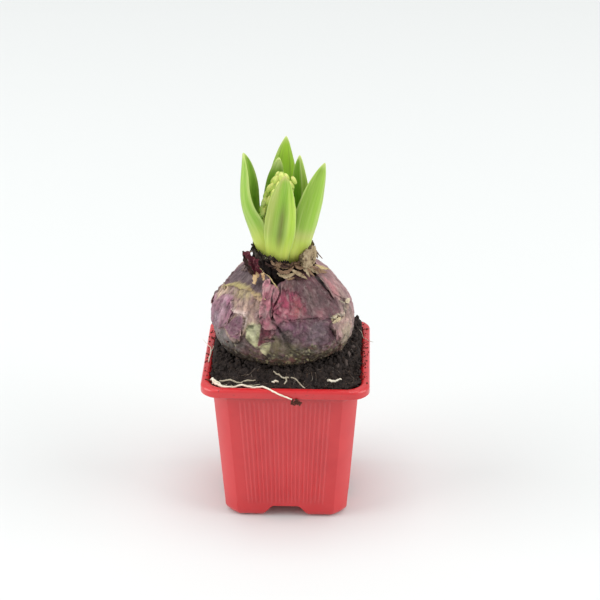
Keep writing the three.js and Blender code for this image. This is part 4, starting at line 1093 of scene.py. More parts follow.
# Neck: dry scales bent round the foot of the leaves. Each is the degrees it runs between, its
# lower and upper edge, its radius at both, how ragged it is and how much its top turns out.
NECK_SCALES = [
    ("mossy_left", (-206, -128), 110.4, 113.9, 12.0, 12.3, 1.6, 0.5, "moss"),
    ("mossy_front", (-152, -98), 110.8, 113.6, 11.9, 12.0, 1.7, 0.5, "moss"),
    ("tan_roll", (-108, -52), 108.6, 111.4, 12.2, 12.4, 1.5, 0.7, "tan"),
    ("beige_right", (-50, 10), 108.0, 115.4, 12.2, 12.0, 1.2, 0.4, "beige"),
    ("umber_right", (-60, -10), 105.2, 109.0, 13.4, 13.2, 1.9, 0.7, "umber"),
    # The two hollow scales are dark sheets of painted shade inside the neck.
    ("hollow_painted_shade", (-214, -56), 100.4, 111.6, 11.7, 11.4, 1.6, 0.3, "hollow"),
    ("hollow_fold", (-176, -112), 104.6, 110.2, 12.3, 11.9, 2.0, 0.4, "hollow"),
    ("back_right", (0, 104), 104.8, 113.6, 13.6, 12.6, 1.3, 0.6, "tan"),
    ("back_left", (88, 168), 105.0, 114.0, 13.2, 12.7, 1.5, 0.6, "umber"),
    ("back_low", (30, 150), 104.4, 110.0, 14.2, 13.8, 1.6, 1.0, "tan"),
]


def scale_form(first, last, low, high, foot, top, ragged, flare, seed):
    def form(u, v):
        degrees = mix(first, last, u) + 3.0 * wander(np.column_stack([v * 4, u * 3, 0 * u + seed]), 40)
        turn = np.radians(degrees)
        ring = np.column_stack([np.cos(turn), np.sin(turn)])
        teeth = ragged * (wander(np.column_stack([ring * 5, 0 * u + seed]), 41)
                          + 0.8 * wander(np.column_stack([ring * 15, 0 * u + seed]), 42)
                          + 0.5 * wander(np.column_stack([ring * 36, 0 * u + seed]), 43))
        ends = smooth(0, 0.14, u) * smooth(1, 0.86, u)
        upper = high + teeth - 2.8 * (1 - ends)
        z = mix(low + 0.5 * teeth, upper, v)
        radius = mix(foot, top, smooth(0, 0.7, v)) + flare * smooth(0.6, 1, v) ** 2
        radius = radius + 0.4 * np.sin(turn * 19 + seed) * smooth(0.0, 0.4, v)
        lumps = wander(np.column_stack([ring * 7, z / 2.4 + seed]), 44)
        rolls = wander(np.column_stack([ring * 4, z / 0.9 + seed]), 45)
        radius = radius + 0.6 * lumps + 0.35 * rolls - 0.7 * (1 - ends) * (seed % 2)
        # Edges darker; painted shade in the dents between the lumps and rolls.
        edge = np.maximum(smooth(0.92, 1.0, v), np.maximum(smooth(0.04, 0, u), smooth(0.96, 1, u))) * 0.85
        hollow = 0.8 * smooth(0.1, -0.5, lumps + rolls)
        return polar(degrees, radius, z), {"dry_edge": np.maximum(edge, hollow)}
    return form


def make_neck(finishes):
    for seed, (name, (first, last), low, high, foot, top, ragged, flare, kind) in enumerate(NECK_SCALES):
        scale = strip("neck_" + name, max(30, int((last - first) * 1.1)), 30)
        shape_strip(scale, scale_form(first, last, low, high, foot, top, ragged, flare, seed))
        thicken(scale, 0.35)
        dress(scale, finishes[kind], "papery_skin", "neck_collar", angle=50)


# Blades


def blade_form(path, facing, width, arch_at, thick, colour, edge=0.5, ripple=0.0, seed=0):
    """Form of a closed blade along a path, hollow towards the way it faces. A ring runs round it."""
    def form(u, v):
        centre = curve_through(path, v)
        before, after = np.maximum(v - 0.004, 0), np.minimum(v + 0.004, 1)
        along = unit(curve_through(path, after) - curve_through(path, before))
        side = unit(np.cross(along, facing(v)))
        normal = unit(np.cross(side, along))
        turn = u * 2 * math.pi
        lateral = np.sin(np.arcsin(np.clip(np.cos(turn), -1, 1)) * 0.999)
        inner = np.sin(turn) > 0
        half, bend = width(v), arch_at(v)
        lean = lateral * bend
        sideways, forwards = half * np.sin(lean) / bend, half * (1 - np.cos(lean)) / bend
        point = centre + side * sideways[:, None] + normal * forwards[:, None]
        depth = 0.5 * mix(thick(v), edge, lateral ** 2) * np.sqrt(np.clip(1 - np.abs(lateral) ** 6, 0, 1))
        depth = np.minimum(depth, half * 0.8)
        out = side * np.sin(lean)[:, None] - normal * np.cos(lean)[:, None]
        wave = ripple * wander(np.column_stack([lateral * 1.5, v * 7, 0 * v + seed]), 50) * lateral ** 2
        point = point + out * (np.where(inner, -depth, depth) + wave)[:, None]
        length = np.linalg.norm(np.diff(np.array(path), axis=0), axis=1).sum()
        place = np.column_stack([lateral * half, 0 * v + inner * 40 + seed * 9, v * length])
        return point, {"blade_tint": colour(lateral, v, inner), "blade_place": place}
    return form


LIME, DEEP = shade(146, 190, 56), shade(100, 160, 32)
PALE, YELLOW = shade(198, 216, 128), shade(214, 224, 100)
BRIGHT = shade(176, 212, 68)
LEAVES = [
    dict(name="left", node="leaf_left", angle=200, foot=8.5, base=7.4, half=11.2, arch=1.35, blunt=2.2,
         look=(0.98, -0.2), knee=(-13.8, 2.0, 116.5), belly=(-18.5, 3.2, 132), tip=(-17.9, 3.2, 154.6)),
    dict(name="front", node="leaf_front", angle=-106, foot=8.7, base=5.0, half=7.4, arch=0.8, blunt=2.4,
         look=(0.1, 1), knee=(-4.4, -6.6, 113.5), belly=(-2.8, -8.4, 129), tip=(-0.4, -5.6, 148.2)),
    dict(name="right", node="leaf_right", angle=-50, foot=7.5, base=5.6, half=6.9, arch=0.8, blunt=2.2,
         look=(-0.5, 0.85), knee=(6.2, -4.6, 114.5), belly=(9.8, -3.6, 130), tip=(15.4, 0.2, 151.8)),
    dict(name="back", node="leaf_back", angle=82, foot=8.3, base=4.9, half=7.8, arch=0.75, blunt=1.8,
         look=(0, -1), knee=(-1, 13.1, 114), belly=(-2.4, 17, 133), tip=(-0.8, 12.4, 158.6)),
    dict(name="back_right", node="leaf_back_right", angle=24, foot=6.2, base=3, half=4.6, arch=0.8, blunt=3,
         look=(-0.35, -0.93), knee=(4.4, 7.6, 113), belly=(5.6, 9.8, 133), tip=(4.9, 8, 152)),
    dict(name="inner_left", node="leaf_inner_left", angle=136, foot=6.2, base=3, half=4.5, arch=0.7, blunt=4,
         look=(0.25, -0.97), knee=(-6.8, 9.6, 113), belly=(-6.8, 12.7, 132), tip=(-3.6, 7.6, 151)),
]


def leaf_colour(name):
    """Tint over a blade. Lateral runs from -1 to 1; across is the same, from left to right as seen."""
    def colour(lateral, v, inner):
        outer = 1 - inner
        across = -lateral if name in ("front", "right") else lateral
        middle = smooth(0.3, 0.5, v)
        tint = tint_mix(np.tile(LIME, (len(v), 1)), DEEP, 0.5 * inner * smooth(0.3, 0.6, v))
        if name == "front":
            tint = tint_mix(tint, shade(162, 170, 84), 0.85 * outer * middle * smooth(0.0, -0.6, across))
            tint = tint_mix(tint, shade(126, 176, 60), 0.6 * outer * middle * bell(across, 0.1, 0.26))
            tint = tint_mix(tint, BRIGHT, 0.95 * outer * smooth(0.38, 0.46, across) * smooth(0.95, 0.75, v))
            streak = bell(across, 0.12, 0.19) * smooth(0.28, 0.42, v) * smooth(0.84, 0.6, v)
            tint = tint_mix(tint, shade(106, 100, 46), 0.8 * outer * streak)
        if name == "left":
            tint = tint_mix(tint, shade(142, 170, 68), 0.8 * outer * smooth(-0.75, 0.1, across))
            tint = tint_mix(tint, shade(134, 182, 66), 0.6 * outer * smooth(-0.3, -0.9, across))
            tint = tint_mix(tint, shade(122, 186, 42), 0.8 * inner * smooth(0.45, 0.2, across))
            tint = tint_mix(tint, shade(186, 216, 96), 0.6 * inner * bell(across, 0.55, 0.09))
        if name == "right":
            tint = tint_mix(tint, shade(124, 164, 46), 0.75 * outer * middle * smooth(0.2, -0.6, across))
            tint = tint_mix(tint, shade(176, 200, 104), 0.6 * outer * middle * smooth(0.3, 0.9, across))
            tint = tint_mix(tint, shade(186, 170, 124), 0.5 * outer * bell(v, 0.4, 0.05))
        if name == "back":
            # Painted light: the back leaf's inner face lies in shade and is given a brighter green.
            tint = tint_mix(tint, shade(188, 230, 74), 0.8 * inner)
            tint = tint_mix(tint, shade(204, 224, 132), 0.7 * inner * smooth(-0.55, -0.95, across))
        if name == "back_right":
            tint = tint_mix(tint, shade(118, 178, 38), 0.7 * inner * smooth(0.05, -0.1, across))
            tint = tint_mix(tint, shade(186, 212, 112), 0.8 * inner * smooth(0.0, 0.15, across))
            tint = tint_mix(tint, shade(226, 236, 180), 0.8 * inner * bell(across, 0.12, 0.07))
        if name == "inner_left":
            tint = tint_mix(tint, shade(126, 184, 44), 0.7 * inner)
            tint = tint_mix(tint, shade(222, 230, 166), 0.8 * smooth(0.82, 0.98, v))
        stripes = wander(np.column_stack([lateral * 7, v * 1.6, 0 * v + inner * 9 + len(name)]), 51)
        stripes = stripes + 0.6 * wander(np.column_stack([lateral * 19, v * 2.2, 0 * v + inner * 9]), 52)
        tint = tint_mix(tint, shade(206, 220, 132), 0.4 * smooth(0.1, 0.6, stripes))
        tint = tint_mix(tint, shade(116, 146, 44), 0.45 * smooth(0.1, 0.6, -stripes))
        tint = tint_mix(tint, YELLOW, 0.9 * smooth(0.5, 0.22, v))
        tint = tint_mix(tint, PALE, 0.75 * smooth(0.84, 1.0, np.abs(lateral)))
        tip = shade(212, 196, 126) if name == "front" else shade(214, 226, 140)
        return tint_mix(tint, tip, 0.75 * smooth(0.93, 1.0, v))
    return colour


def make_leaves(finish):
    for seed, leaf in enumerate(LEAVES):
        turn = math.radians(leaf["angle"])
        outward = np.array([math.cos(turn), math.sin(turn), 0])
        foot, base, half, bow, blunt = (leaf[key] for key in ("foot", "base", "half", "arch", "blunt"))
        looking = unit(np.array([*leaf["look"], 0.0]))
        at = lambda z: (BULB_X + foot * outward[0], BULB_Y + foot * outward[1], z)
        rise = lambda v: smooth(0.15, 0.5, v)
        taper = lambda v: (1 - np.clip((v - 0.45) / 0.55, 0, 0.999) ** blunt) ** 0.8
        blade = tube("leaf_blade_" + leaf["name"], 48, 100)
        shape_tube(blade, blade_form(
            path=[at(100.6), at(106), leaf["knee"], leaf["belly"], leaf["tip"]],
            facing=lambda v: -outward + (looking + outward) * smooth(0.2, 0.8, v)[:, None],
            width=lambda v: mix(base, half, rise(v)) * taper(v),
            arch_at=lambda v: mix(base / foot, bow, rise(v)),
            thick=lambda v: mix(1.1, 0.9, smooth(0.4, 1, v)),
            colour=leaf_colour(leaf["name"]), ripple=0.25, seed=seed))
        cap_ends(blade)
        dress(blade, finish, "leaf", leaf["node"], angle=70)


def cap_ends(piece):
    """Closes the open ends of a tube."""
    edit(piece)
    bpy.ops.mesh.select_all(action="DESELECT")
    bpy.ops.mesh.select_non_manifold(extend=False)
    bpy.ops.mesh.fill_holes(sides=0)
    done()
    close(piece, 0.004)


# Papery shreds at the neck: places as degrees, radius and height, half width, and finish
SHREDS = [
    ([(-100, 12.4, 108.6), (-90, 13.4, 107.4), (-80, 13.8, 107.8), (-68, 13.2, 109.6)], 0.9, "tan"),
    ([(-98, 12.6, 106.8), (-88, 13.8, 105.8), (-76, 14.4, 106.4), (-64, 14.2, 108.0)], 1.0, "beige"),
    ([(-94, 12.4, 110.4), (-84, 13.2, 109.8), (-72, 13.0, 110.2)], 0.6, "umber"),
    ([(-84, 14.0, 105.6), (-78, 15.2, 105.0), (-70, 15.6, 105.6)], 0.6, "tan"),
    ([(-74, 13.2, 108.6), (-66, 14.6, 107.2), (-58, 16.0, 105.8), (-52, 17.2, 104.6)], 0.9, "beige"),
    ([(-66, 12.8, 109.8), (-58, 14.0, 108.8), (-46, 14.4, 109.2)], 0.8, "tan"),
    ([(-64, 13.6, 107.6), (-57, 15.4, 106.0), (-52, 16.6, 104.2)], 0.8, "tan"),
    ([(-54, 13.0, 109.6), (-49, 14.8, 107.6), (-46, 16.8, 104.8)], 0.9, "beige"),
    ([(-48, 13.2, 109.4), (-43, 15.0, 107.0), (-38, 17.0, 104.4)], 0.8, "tan"),
    ([(-58, 12.8, 108.8), (-50, 13.8, 108.2), (-40, 14.2, 108.8)], 0.7, "umber"),
    ([(-42, 13.4, 108.8), (-36, 15.2, 106.6), (-29, 17.2, 104.8)], 0.9, "beige"),
    ([(-36, 13.4, 108.4), (-28, 15.6, 106.2), (-20, 17.8, 104.6), (-13, 19.0, 103.6)], 1.2, "tan"),
    ([(-24, 14.6, 107.6), (-14, 16.6, 105.8), (-5, 18.2, 104.4)], 0.8, "straw"),
    ([(-20, 16.4, 106.0), (-10, 18.0, 104.8), (0, 19.4, 103.2)], 0.6, "straw"),
    ([(-70, 14.6, 105.4), (-66, 16.0, 105.0), (-60, 17.0, 105.4)], 0.5, "umber"),
    ([(-112, 12.2, 111.6), (-104, 13.0, 110.6), (-94, 13.0, 110.6)], 0.7, "tan"),
    ([(-124, 12.4, 110.6), (-116, 13.0, 109.8), (-106, 12.8, 109.4)], 0.6, "umber"),
    ([(-150, 13.2, 108.4), (-138, 13.6, 107.9), (-128, 14.0, 107.4), (-117, 15.0, 106.4)], 0.22, "straw"),
    ([(-119, 14.8, 106.6), (-109, 15.7, 106.0), (-101, 17.4, 104.4), (-96, 18.3, 103.2),
      (-93, 18.7, 101.9)], 0.24, "straw"),
    ([(-150, 14.6, 107.6), (-142, 16.2, 107.0), (-134, 16.6, 106.2)], 0.6, "umber"),
    ([(-160, 13.6, 109.0), (-158, 15.6, 107.4), (-156, 17.4, 105.8)], 0.7, "umber"),
    ([(-176, 13.2, 111.4), (-178, 14.8, 108.6), (-182, 16.6, 106.4)], 0.9, "tan"),
    ([(8, 13.2, 111.0), (10, 14.0, 108.6), (14, 14.8, 106.4)], 1.1, "beige"),
    ([(22, 13.6, 110.6), (24, 15.2, 108.0), (20, 17.4, 105.2)], 0.8, "tan"),
    ([(38, 13.6, 112.0), (44, 15.0, 109.0), (46, 16.6, 106.0)], 1.2, "tan"),
    ([(56, 13.8, 110.0), (60, 15.6, 107.4), (58, 17.4, 105.0)], 0.8, "beige"),
    ([(70, 13.6, 111.6), (74, 15.0, 108.4), (72, 17.0, 105.6)], 1.0, "umber"),
    ([(88, 14.0, 110.4), (86, 15.6, 107.6), (90, 17.6, 105.0)], 0.7, "tan"),
    ([(104, 13.4, 112.4), (100, 14.8, 109.2), (104, 16.6, 106.2)], 1.3, "tan"),
    ([(122, 13.8, 110.8), (126, 15.2, 108.0), (124, 17.0, 105.4)], 0.8, "straw"),
    ([(140, 13.2, 112.6), (146, 14.8, 109.4), (148, 16.2, 106.6)], 1.0, "beige"),
    ([(158, 13.4, 111.2), (160, 15.0, 108.2), (164, 16.8, 105.8)], 0.8, "umber"),
]


def on_bulb(degrees, radius, z):
    return tuple(polar(np.array([degrees]), radius, z)[0])


def paper_colour(lateral, v, inner):
    return np.tile(TAN, (len(v), 1))


def make_blade(name, columns, rows, path, facing, width, arch_at, thick, colour=paper_colour, edge=0.25,
               ripple=0.0, seed=0):
    blade = tube(name, columns, rows)
    shape_tube(blade, blade_form(path, facing, width, arch_at, thick, colour, edge, ripple, seed))
    cap_ends(blade)
    write_values(blade, "dry_edge", 0.15 * np.ones(len(blade.data.vertices)))
    return blade


def make_shreds(finishes):
    made = {}
    for seed, (stops, half, kind) in enumerate(SHREDS):
        path = [on_bulb(*stop) for stop in stops]
        middle = stops[len(stops) // 2][0]
        outward = np.array([math.cos(math.radians(middle)), math.sin(math.radians(middle)), 0.5])
        ragged = lambda v, seed=seed, half=half: np.maximum(half * (0.9 - 0.7 * np.abs(2 * v - 0.9) ** 2) * (
            1 + 0.5 * wander(np.column_stack([v * 6, 0 * v + seed, 0 * v]), 46)), 0.08)
        shred = make_blade(
            "neck_shred", 14, 24, path, lambda v, way=outward: np.tile(way, (len(v), 1)), ragged,
            lambda v: 0.9 + 0 * v, lambda v: 0.3 + 0 * v, ripple=0.5, seed=seed)
        made.setdefault(kind, []).append(shred)
    for kind, shreds in made.items():
        dress(join("neck_shreds_" + kind, shreds), finishes[kind], "papery_skin", "neck_collar", angle=60)


# Curled flaps at the neck: name, CAD node, finish, path, facing, half width at places along it, curl
FLAPS = [
    ("burgundy_curl", "neck_flap_left", "burgundy",
     [(-12.2, -10.6, 106.8), (-13.4, -10.6, 109.4), (-14.8, -9.8, 112.2), (-16.2, -8.8, 114.4),
      (-17.6, -8.2, 115.2)],
     (0.5, -0.85, 0.1), [(0, 0.8), (0.3, 1.4), (0.6, 1.7), (0.85, 1.3), (1, 0.6)], 1.5),
    ("burgundy_inner", "neck_flap_left", "burgundy",
     [(-10.8, -11.2, 107.2), (-11.6, -11.4, 109.2), (-12.6, -10.8, 111.6), (-13.6, -9.8, 113.8)],
     (0.1, -1, 0.2), [(0, 0.9), (0.4, 1.3), (0.8, 1.0), (1, 0.3)], 1.3),
    ("umber_outer", "neck_flap_left", "umber",
     [(-13.6, -9.8, 105.4), (-14.6, -9.6, 107.6), (-15.8, -8.8, 110.0), (-17.0, -7.8, 112.6),
      (-18.0, -7.2, 115.4)],
     (-0.3, -0.9, 0.3), [(0, 0.6), (0.4, 1.0), (0.8, 1.0), (1, 0.3)], 1.4),
    ("cream_foot", "neck_flap_left", "cream",
     [(-11.8, -10.8, 108.0), (-12.4, -11.4, 106.4), (-12.9, -12.2, 104.6), (-13.0, -12.9, 103.0)],
     (0.4, 0.8, 0.5), [(0, 1.0), (0.4, 1.3), (0.8, 0.9), (1, 0.3)], 1.0),
    ("cream_side", "neck_flap_left", "cream",
     [(-9.4, -12.0, 107.8), (-9.4, -12.8, 106.4), (-9.0, -13.6, 105.2)],
     (0.1, 0.9, 0.4), [(0, 0.6), (0.5, 0.7), (1, 0.2)], 1.0),
    ("beige_wall", "neck_flap_right", "beige",
     [(9.0, -8.5, 109.0), (9.2, -8.4, 111.4), (9.3, -7.9, 113.8), (9.6, -7.2, 116.4)],
     (-0.75, 0.7, 0), [(0, 2.3), (0.4, 2.9), (0.8, 2.7), (1, 1.9)], 0.6),
    ("beige_corner", "neck_flap_right", "beige",
     [(11.2, -5.6, 109.4), (11.9, -5.4, 111.6), (12.0, -4.8, 114.0), (11.6, -4.2, 116.8)],
     (-0.95, 0.3, 0), [(0, 1.3), (0.5, 1.7), (0.85, 1.3), (1, 0.4)], 1.0),
]


def make_flaps(finishes):
    for seed, (name, node, kind, path, facing, widths, curl) in enumerate(FLAPS):
        ragged = lambda v, widths=widths, seed=seed: np.maximum(table_value(widths, v) * (
            1 + 0.35 * wander(np.column_stack([v * 7, 0 * v + seed, 0 * v]), 47)), 0.08)
        flap = make_blade(
            "flap_" + name, 30, 40, path, lambda v, way=facing: np.tile(way, (len(v), 1)), ragged,
            lambda v, curl=curl: curl + 0 * v, lambda v: 0.4 + 0 * v, ripple=1.4, seed=seed)
        dress(flap, finishes[kind], "papery_skin", node, angle=60)


# Flower bud

BUD_CORE = [
    (100.6, 3.0), (110, 3.2), (115, 4.2), (121, 5.6), (127, 6.2), (133, 5.7), (139, 4.4), (143.5, 2.7),
    (146.2, 1.1),
]
BUD_FLORETS, LOWEST_FLORET, FLORETS_RISE = 84, 110.5, 34.6
FLORET_TURN = 2.39996  # from each floret to the next, as in a sunflower's head
# Florets that stand further out, at the left edge and at the right tip: degrees, height, how far
SIDE_FLORETS = [
    (-152, 113.8, 2.4), (-156, 117.0, 2.2), (-162, 120.5, 2.0), (-170, 123.6, 2.0), (-156, 124.8, 1.6),
    (-166, 127.2, 1.6), (-156, 129.4, 1.2), (-168, 131.0, 1.2), (-162, 134.0, 1.0), (-174, 136.6, 0.7),
    (-160, 139.6, 0.8), (-16, 143.4, 2.9), (-24, 141.4, 1.5), (-30, 138.8, 0.8),
]


def bud_lean(z):
    return -1.5 * smooth(106, 122, z) + 0.9 * smooth(132, 147, z)


def core_form(u, v):
    z = mix(BUD_CORE[0][0], BUD_CORE[-1][0], v)
    points = polar(u * 360, table_value(BUD_CORE, z), z)
    points[:, 0] += bud_lean(z)
    green = np.tile(shade(176, 196, 96), (len(u), 1))
    return points, {"bud_tint": tint_mix(green, YELLOW, smooth(116, 104, z))}


def floret_form(size, stretch, main_tint, tip_tint):
    def form(u, v):
        turn, rise = u * 2 * math.pi, v * math.pi
        lobes = 1 + 0.13 * np.cos(turn * 3) * smooth(0.2, 0.8, v)
        radius = size * np.sin(rise) ** 0.75 * mix(1.0, 0.82, v) * lobes
        z = -size * stretch * np.cos(rise) + 0.16 * size * np.cos(turn * 3) * smooth(0.7, 1.0, v)
        points = np.column_stack([0.86 * radius * np.cos(turn), radius * np.sin(turn), z])
        tint = tint_mix(np.tile(main_tint, (len(u), 1)), shade(230, 232, 134), smooth(0.3, 0.8, v))
        return points, {"bud_tint": tint_mix(tint, tip_tint, smooth(0.86, 1.0, v))}
    return form


def make_bud(finish):
    core = tube("bud_core", 32, 40)
    shape_tube(core, core_form)
    cap_ends(core)
    parts = [core]
    for index in range(BUD_FLORETS + len(SIDE_FLORETS)):
        share = min((index + 0.5) / BUD_FLORETS, 1)
        z, turn, grown = LOWEST_FLORET + FLORETS_RISE * share, index * FLORET_TURN + 0.4, 0
        if index >= BUD_FLORETS:
            degrees, z, grown = SIDE_FLORETS[index - BUD_FLORETS]
            turn, share = math.radians(degrees), (z - LOWEST_FLORET) / FLORETS_RISE
        radius = float(table_value(BUD_CORE, z)) + grown
        size = 1.6 - 0.5 * share
        tip = shade(176, 112, 84) if index % 5 == 0 and share > 0.7 else shade(240, 244, 160)
        floret = tube("floret", 18, 12)
        # Painted light: the lower side florets, in the left leaf's shadow, get a lighter green.
        main = shade(240, 252, 164) if index >= BUD_FLORETS and share < 0.7 else shade(206, 224, 108)
        shape_tube(floret, floret_form(size, 1.65, main, tip))
        close(floret)
        points = read_points(floret) / MM
        lean = mix(0.1, 0.5, share)
        x = points[:, 0] * math.cos(lean) - points[:, 2] * math.sin(lean) + radius
        height = points[:, 0] * math.sin(lean) + points[:, 2] * math.cos(lean)
        out = BULB_X + bud_lean(z) + x * math.cos(turn) - points[:, 1] * math.sin(turn)
        back = BULB_Y + x * math.sin(turn) + points[:, 1] * math.cos(turn)
        write_points(floret, np.column_stack([out, back, height + z]))
        parts.append(floret)
    bud = join("flower_bud_florets", parts)
    return dress(bud, finish, "bud", "flower_bud", angle=60)


# Soil


def copy_of_node(name, node):
    """A copy of a solid's mesh with its points merged, to be worked on."""
    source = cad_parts[node]
    piece = bpy.data.objects.new(name, source.data.copy())
    bpy.context.scene.collection.objects.link(piece)
    piece.matrix_world = source.matrix_world.copy()
    pick(piece)
    bpy.ops.object.transform_apply(location=True, rotation=True, scale=True)
    edit(piece)
    bpy.ops.mesh.remove_doubles(threshold=1e-6)
    done()
    for name in [kept.name for kept in piece.data.attributes if kept.name.startswith("custom")]:
        piece.data.attributes.remove(piece.data.attributes[name])
    return piece


def keep_side(piece, height, upper):
    edit(piece)
    bpy.ops.mesh.bisect(plane_co=(0, 0, height * MM), plane_no=(0, 0, 1), use_fill=True,
                        clear_inner=upper, clear_outer=not upper)
    done()


def make_soil(finish):
    bed = copy_of_node("soil_bed", "soil")
    keep_side(bed, SOIL_CUT, False)
    close(bed)
    dress(bed, finish, "potting_soil", "soil")
    top = copy_of_node("soil_top", "soil")
    keep_side(top, SOIL_CUT, True)
    close(top)
    modify(top, "REMESH", mode="VOXEL", voxel_size=0.5 * MM)
    points = read_points(top) / MM
    free = smooth(60.5, 63, points[:, 2])
    wall = np.maximum(np.abs(points[:, 0]), np.abs(points[:, 1]))
    free = free * smooth(31.2, 29.6, wall)
    lift = 1.6 * rough(points / 3.4, 60, 4) + 0.7 * np.abs(wander(points / 1.3, 61))
    points[:, 2] += free * lift
    points[:, 0] += free * 0.3 * wander(points / 1.1, 62)
    points[:, 1] += free * 0.3 * wander(points / 1.1, 63)
    write_points(top, points)
    return dress(top, finish, "potting_soil", "soil", angle=80)


def crumb_shape(seed, fine=False):
    leave_all()
    if fine:
        bpy.ops.mesh.primitive_ico_sphere_add(subdivisions=2, radius=1)
    else:
        bpy.ops.mesh.primitive_uv_sphere_add(segments=6, ring_count=4, radius=1)
    crumb = name_new("crumb")
    points = read_points(crumb)
    swell = 0.45 * wander(points * 1.4 + seed * 7.7, 70) + 0.3 * wander(points * 3.1 + seed * 3.3, 71)
    points *= 1 + swell[:, None]
    faces = [face.vertices[:] for face in crumb.data.polygons]
    bpy.data.objects.remove(crumb)
    return points, faces


def scatter_mesh(name, shapes, spots):
    """One mesh of many copies: each spot is a place, three sizes, a turn and which shape it takes."""
    points, faces = [], []
    count = 0
    for place, sizes, turns, which in spots:
        own, own_faces = shapes[which % len(shapes)]
        own = own * sizes
        for axis, turn in enumerate(turns):
            a, b = (axis + 1) % 3, (axis + 2) % 3
            first, second = own[:, a].copy(), own[:, b].copy()
            own[:, a] = first * math.cos(turn) - second * math.sin(turn)
            own[:, b] = first * math.sin(turn) + second * math.cos(turn)
        points.append(own + place)
        faces += [[index + count for index in face] for face in own_faces]
        count += len(own)
    mesh = bpy.data.meshes.new(name)
    mesh.from_pydata((np.vstack(points) * MM).tolist(), [], faces)
    piece = bpy.data.objects.new(name, mesh)
    bpy.context.scene.collection.objects.link(piece)
    return piece


def ground_finder(*pieces):
    """A function that finds the height of the highest of some pieces at a place."""
    trees = []
    for piece in pieces:
        graph = bpy.context.evaluated_depsgraph_get()
        trees.append(BVHTree.FromObject(piece, graph))

    def find(x, y):
        hits = [tree.ray_cast(Vector((x, y, 200)) * MM, Vector((0, 0, -1)))[0] for tree in trees]
        heights = [hit.z / MM for hit in hits if hit]
        return max(heights) if heights else None
    return find


FULL_TURN = 6.28  # in radians, as the dice take it


def random_turns(dice):
    return [dice.uniform(0, FULL_TURN) for _ in range(3)]


# Lumps of grit among the soil at the right: place and size
GRIT = [
    (26.0, -5.2, 1.7), (24.6, -11.4, 1.5), (27.6, 1.6, 1.2), (21.4, -15.6, 0.9),
]
GRIT_SEED = 20
CRUMB_KINDS, LUMP_KINDS = 6, 4
SOIL_CRUMBS, SKIN_CRUMBS, RIM_CRUMBS = 900, 900, 800
HEAP_TRIES, LUMP_COUNT, EDGE_TRIES = 700, 620, 520
SOIL_EDGE = 30.6
HEAP_TOP = 68  # where the heaped soil meets the bulb
LOWEST_SOIL = 60  # a ray that meets nothing above this has missed the soil and the rim
HEAP_FOOT, HEAP_WIDTH = 23.4, 5.2  # the heap round the bulb: its inner radius and how wide it is


def speck(dice, place, size, wide, tall, kinds=CRUMB_KINDS):
    """A spot for a crumb, with its own width, height, turns and shape."""
    sizes = size * np.array([1, dice.uniform(*wide), dice.uniform(*tall)])
    return place, sizes, random_turns(dice), dice.randrange(kinds)


def crumbs_on_soil(dice, on_soil):
    spots = []
    while len(spots) < SOIL_CRUMBS:
        x, y = dice.uniform(-SOIL_EDGE, SOIL_EDGE), dice.uniform(-SOIL_EDGE, SOIL_EDGE)
        if math.hypot(x - BULB_X, y - BULB_Y) < 24:
            continue
        height = on_soil(x, y)
        if height is None or height < LOWEST_SOIL:
            continue
        size = 0.28 + 0.75 * dice.random() ** 3
        spots.append(speck(dice, np.array([x, y, height + 0.2 * size]), size, (0.6, 1), (0.45, 0.9)))
    return spots


def crumbs_on_skin(dice):
    spots = []
    for _ in range(SKIN_CRUMBS):
        degrees, climb = dice.uniform(-180, 180), abs(dice.gauss(0, 1))
        z = HEAP_TOP + climb * (2.2 + 3.4 * bell(degrees, LEFT_FRONT, 26))
        size = (0.2 + 0.6 * dice.random() ** 2.5) * (1 if z < 71 else 0.6)
        radius = float(table_value(BULB_OUTLINE, z)) - 0.3 + 0.25 * size
        spots.append(speck(dice, polar(np.array([degrees]), radius, z)[0], size, (0.6, 1), (0.5, 0.9)))
    return spots


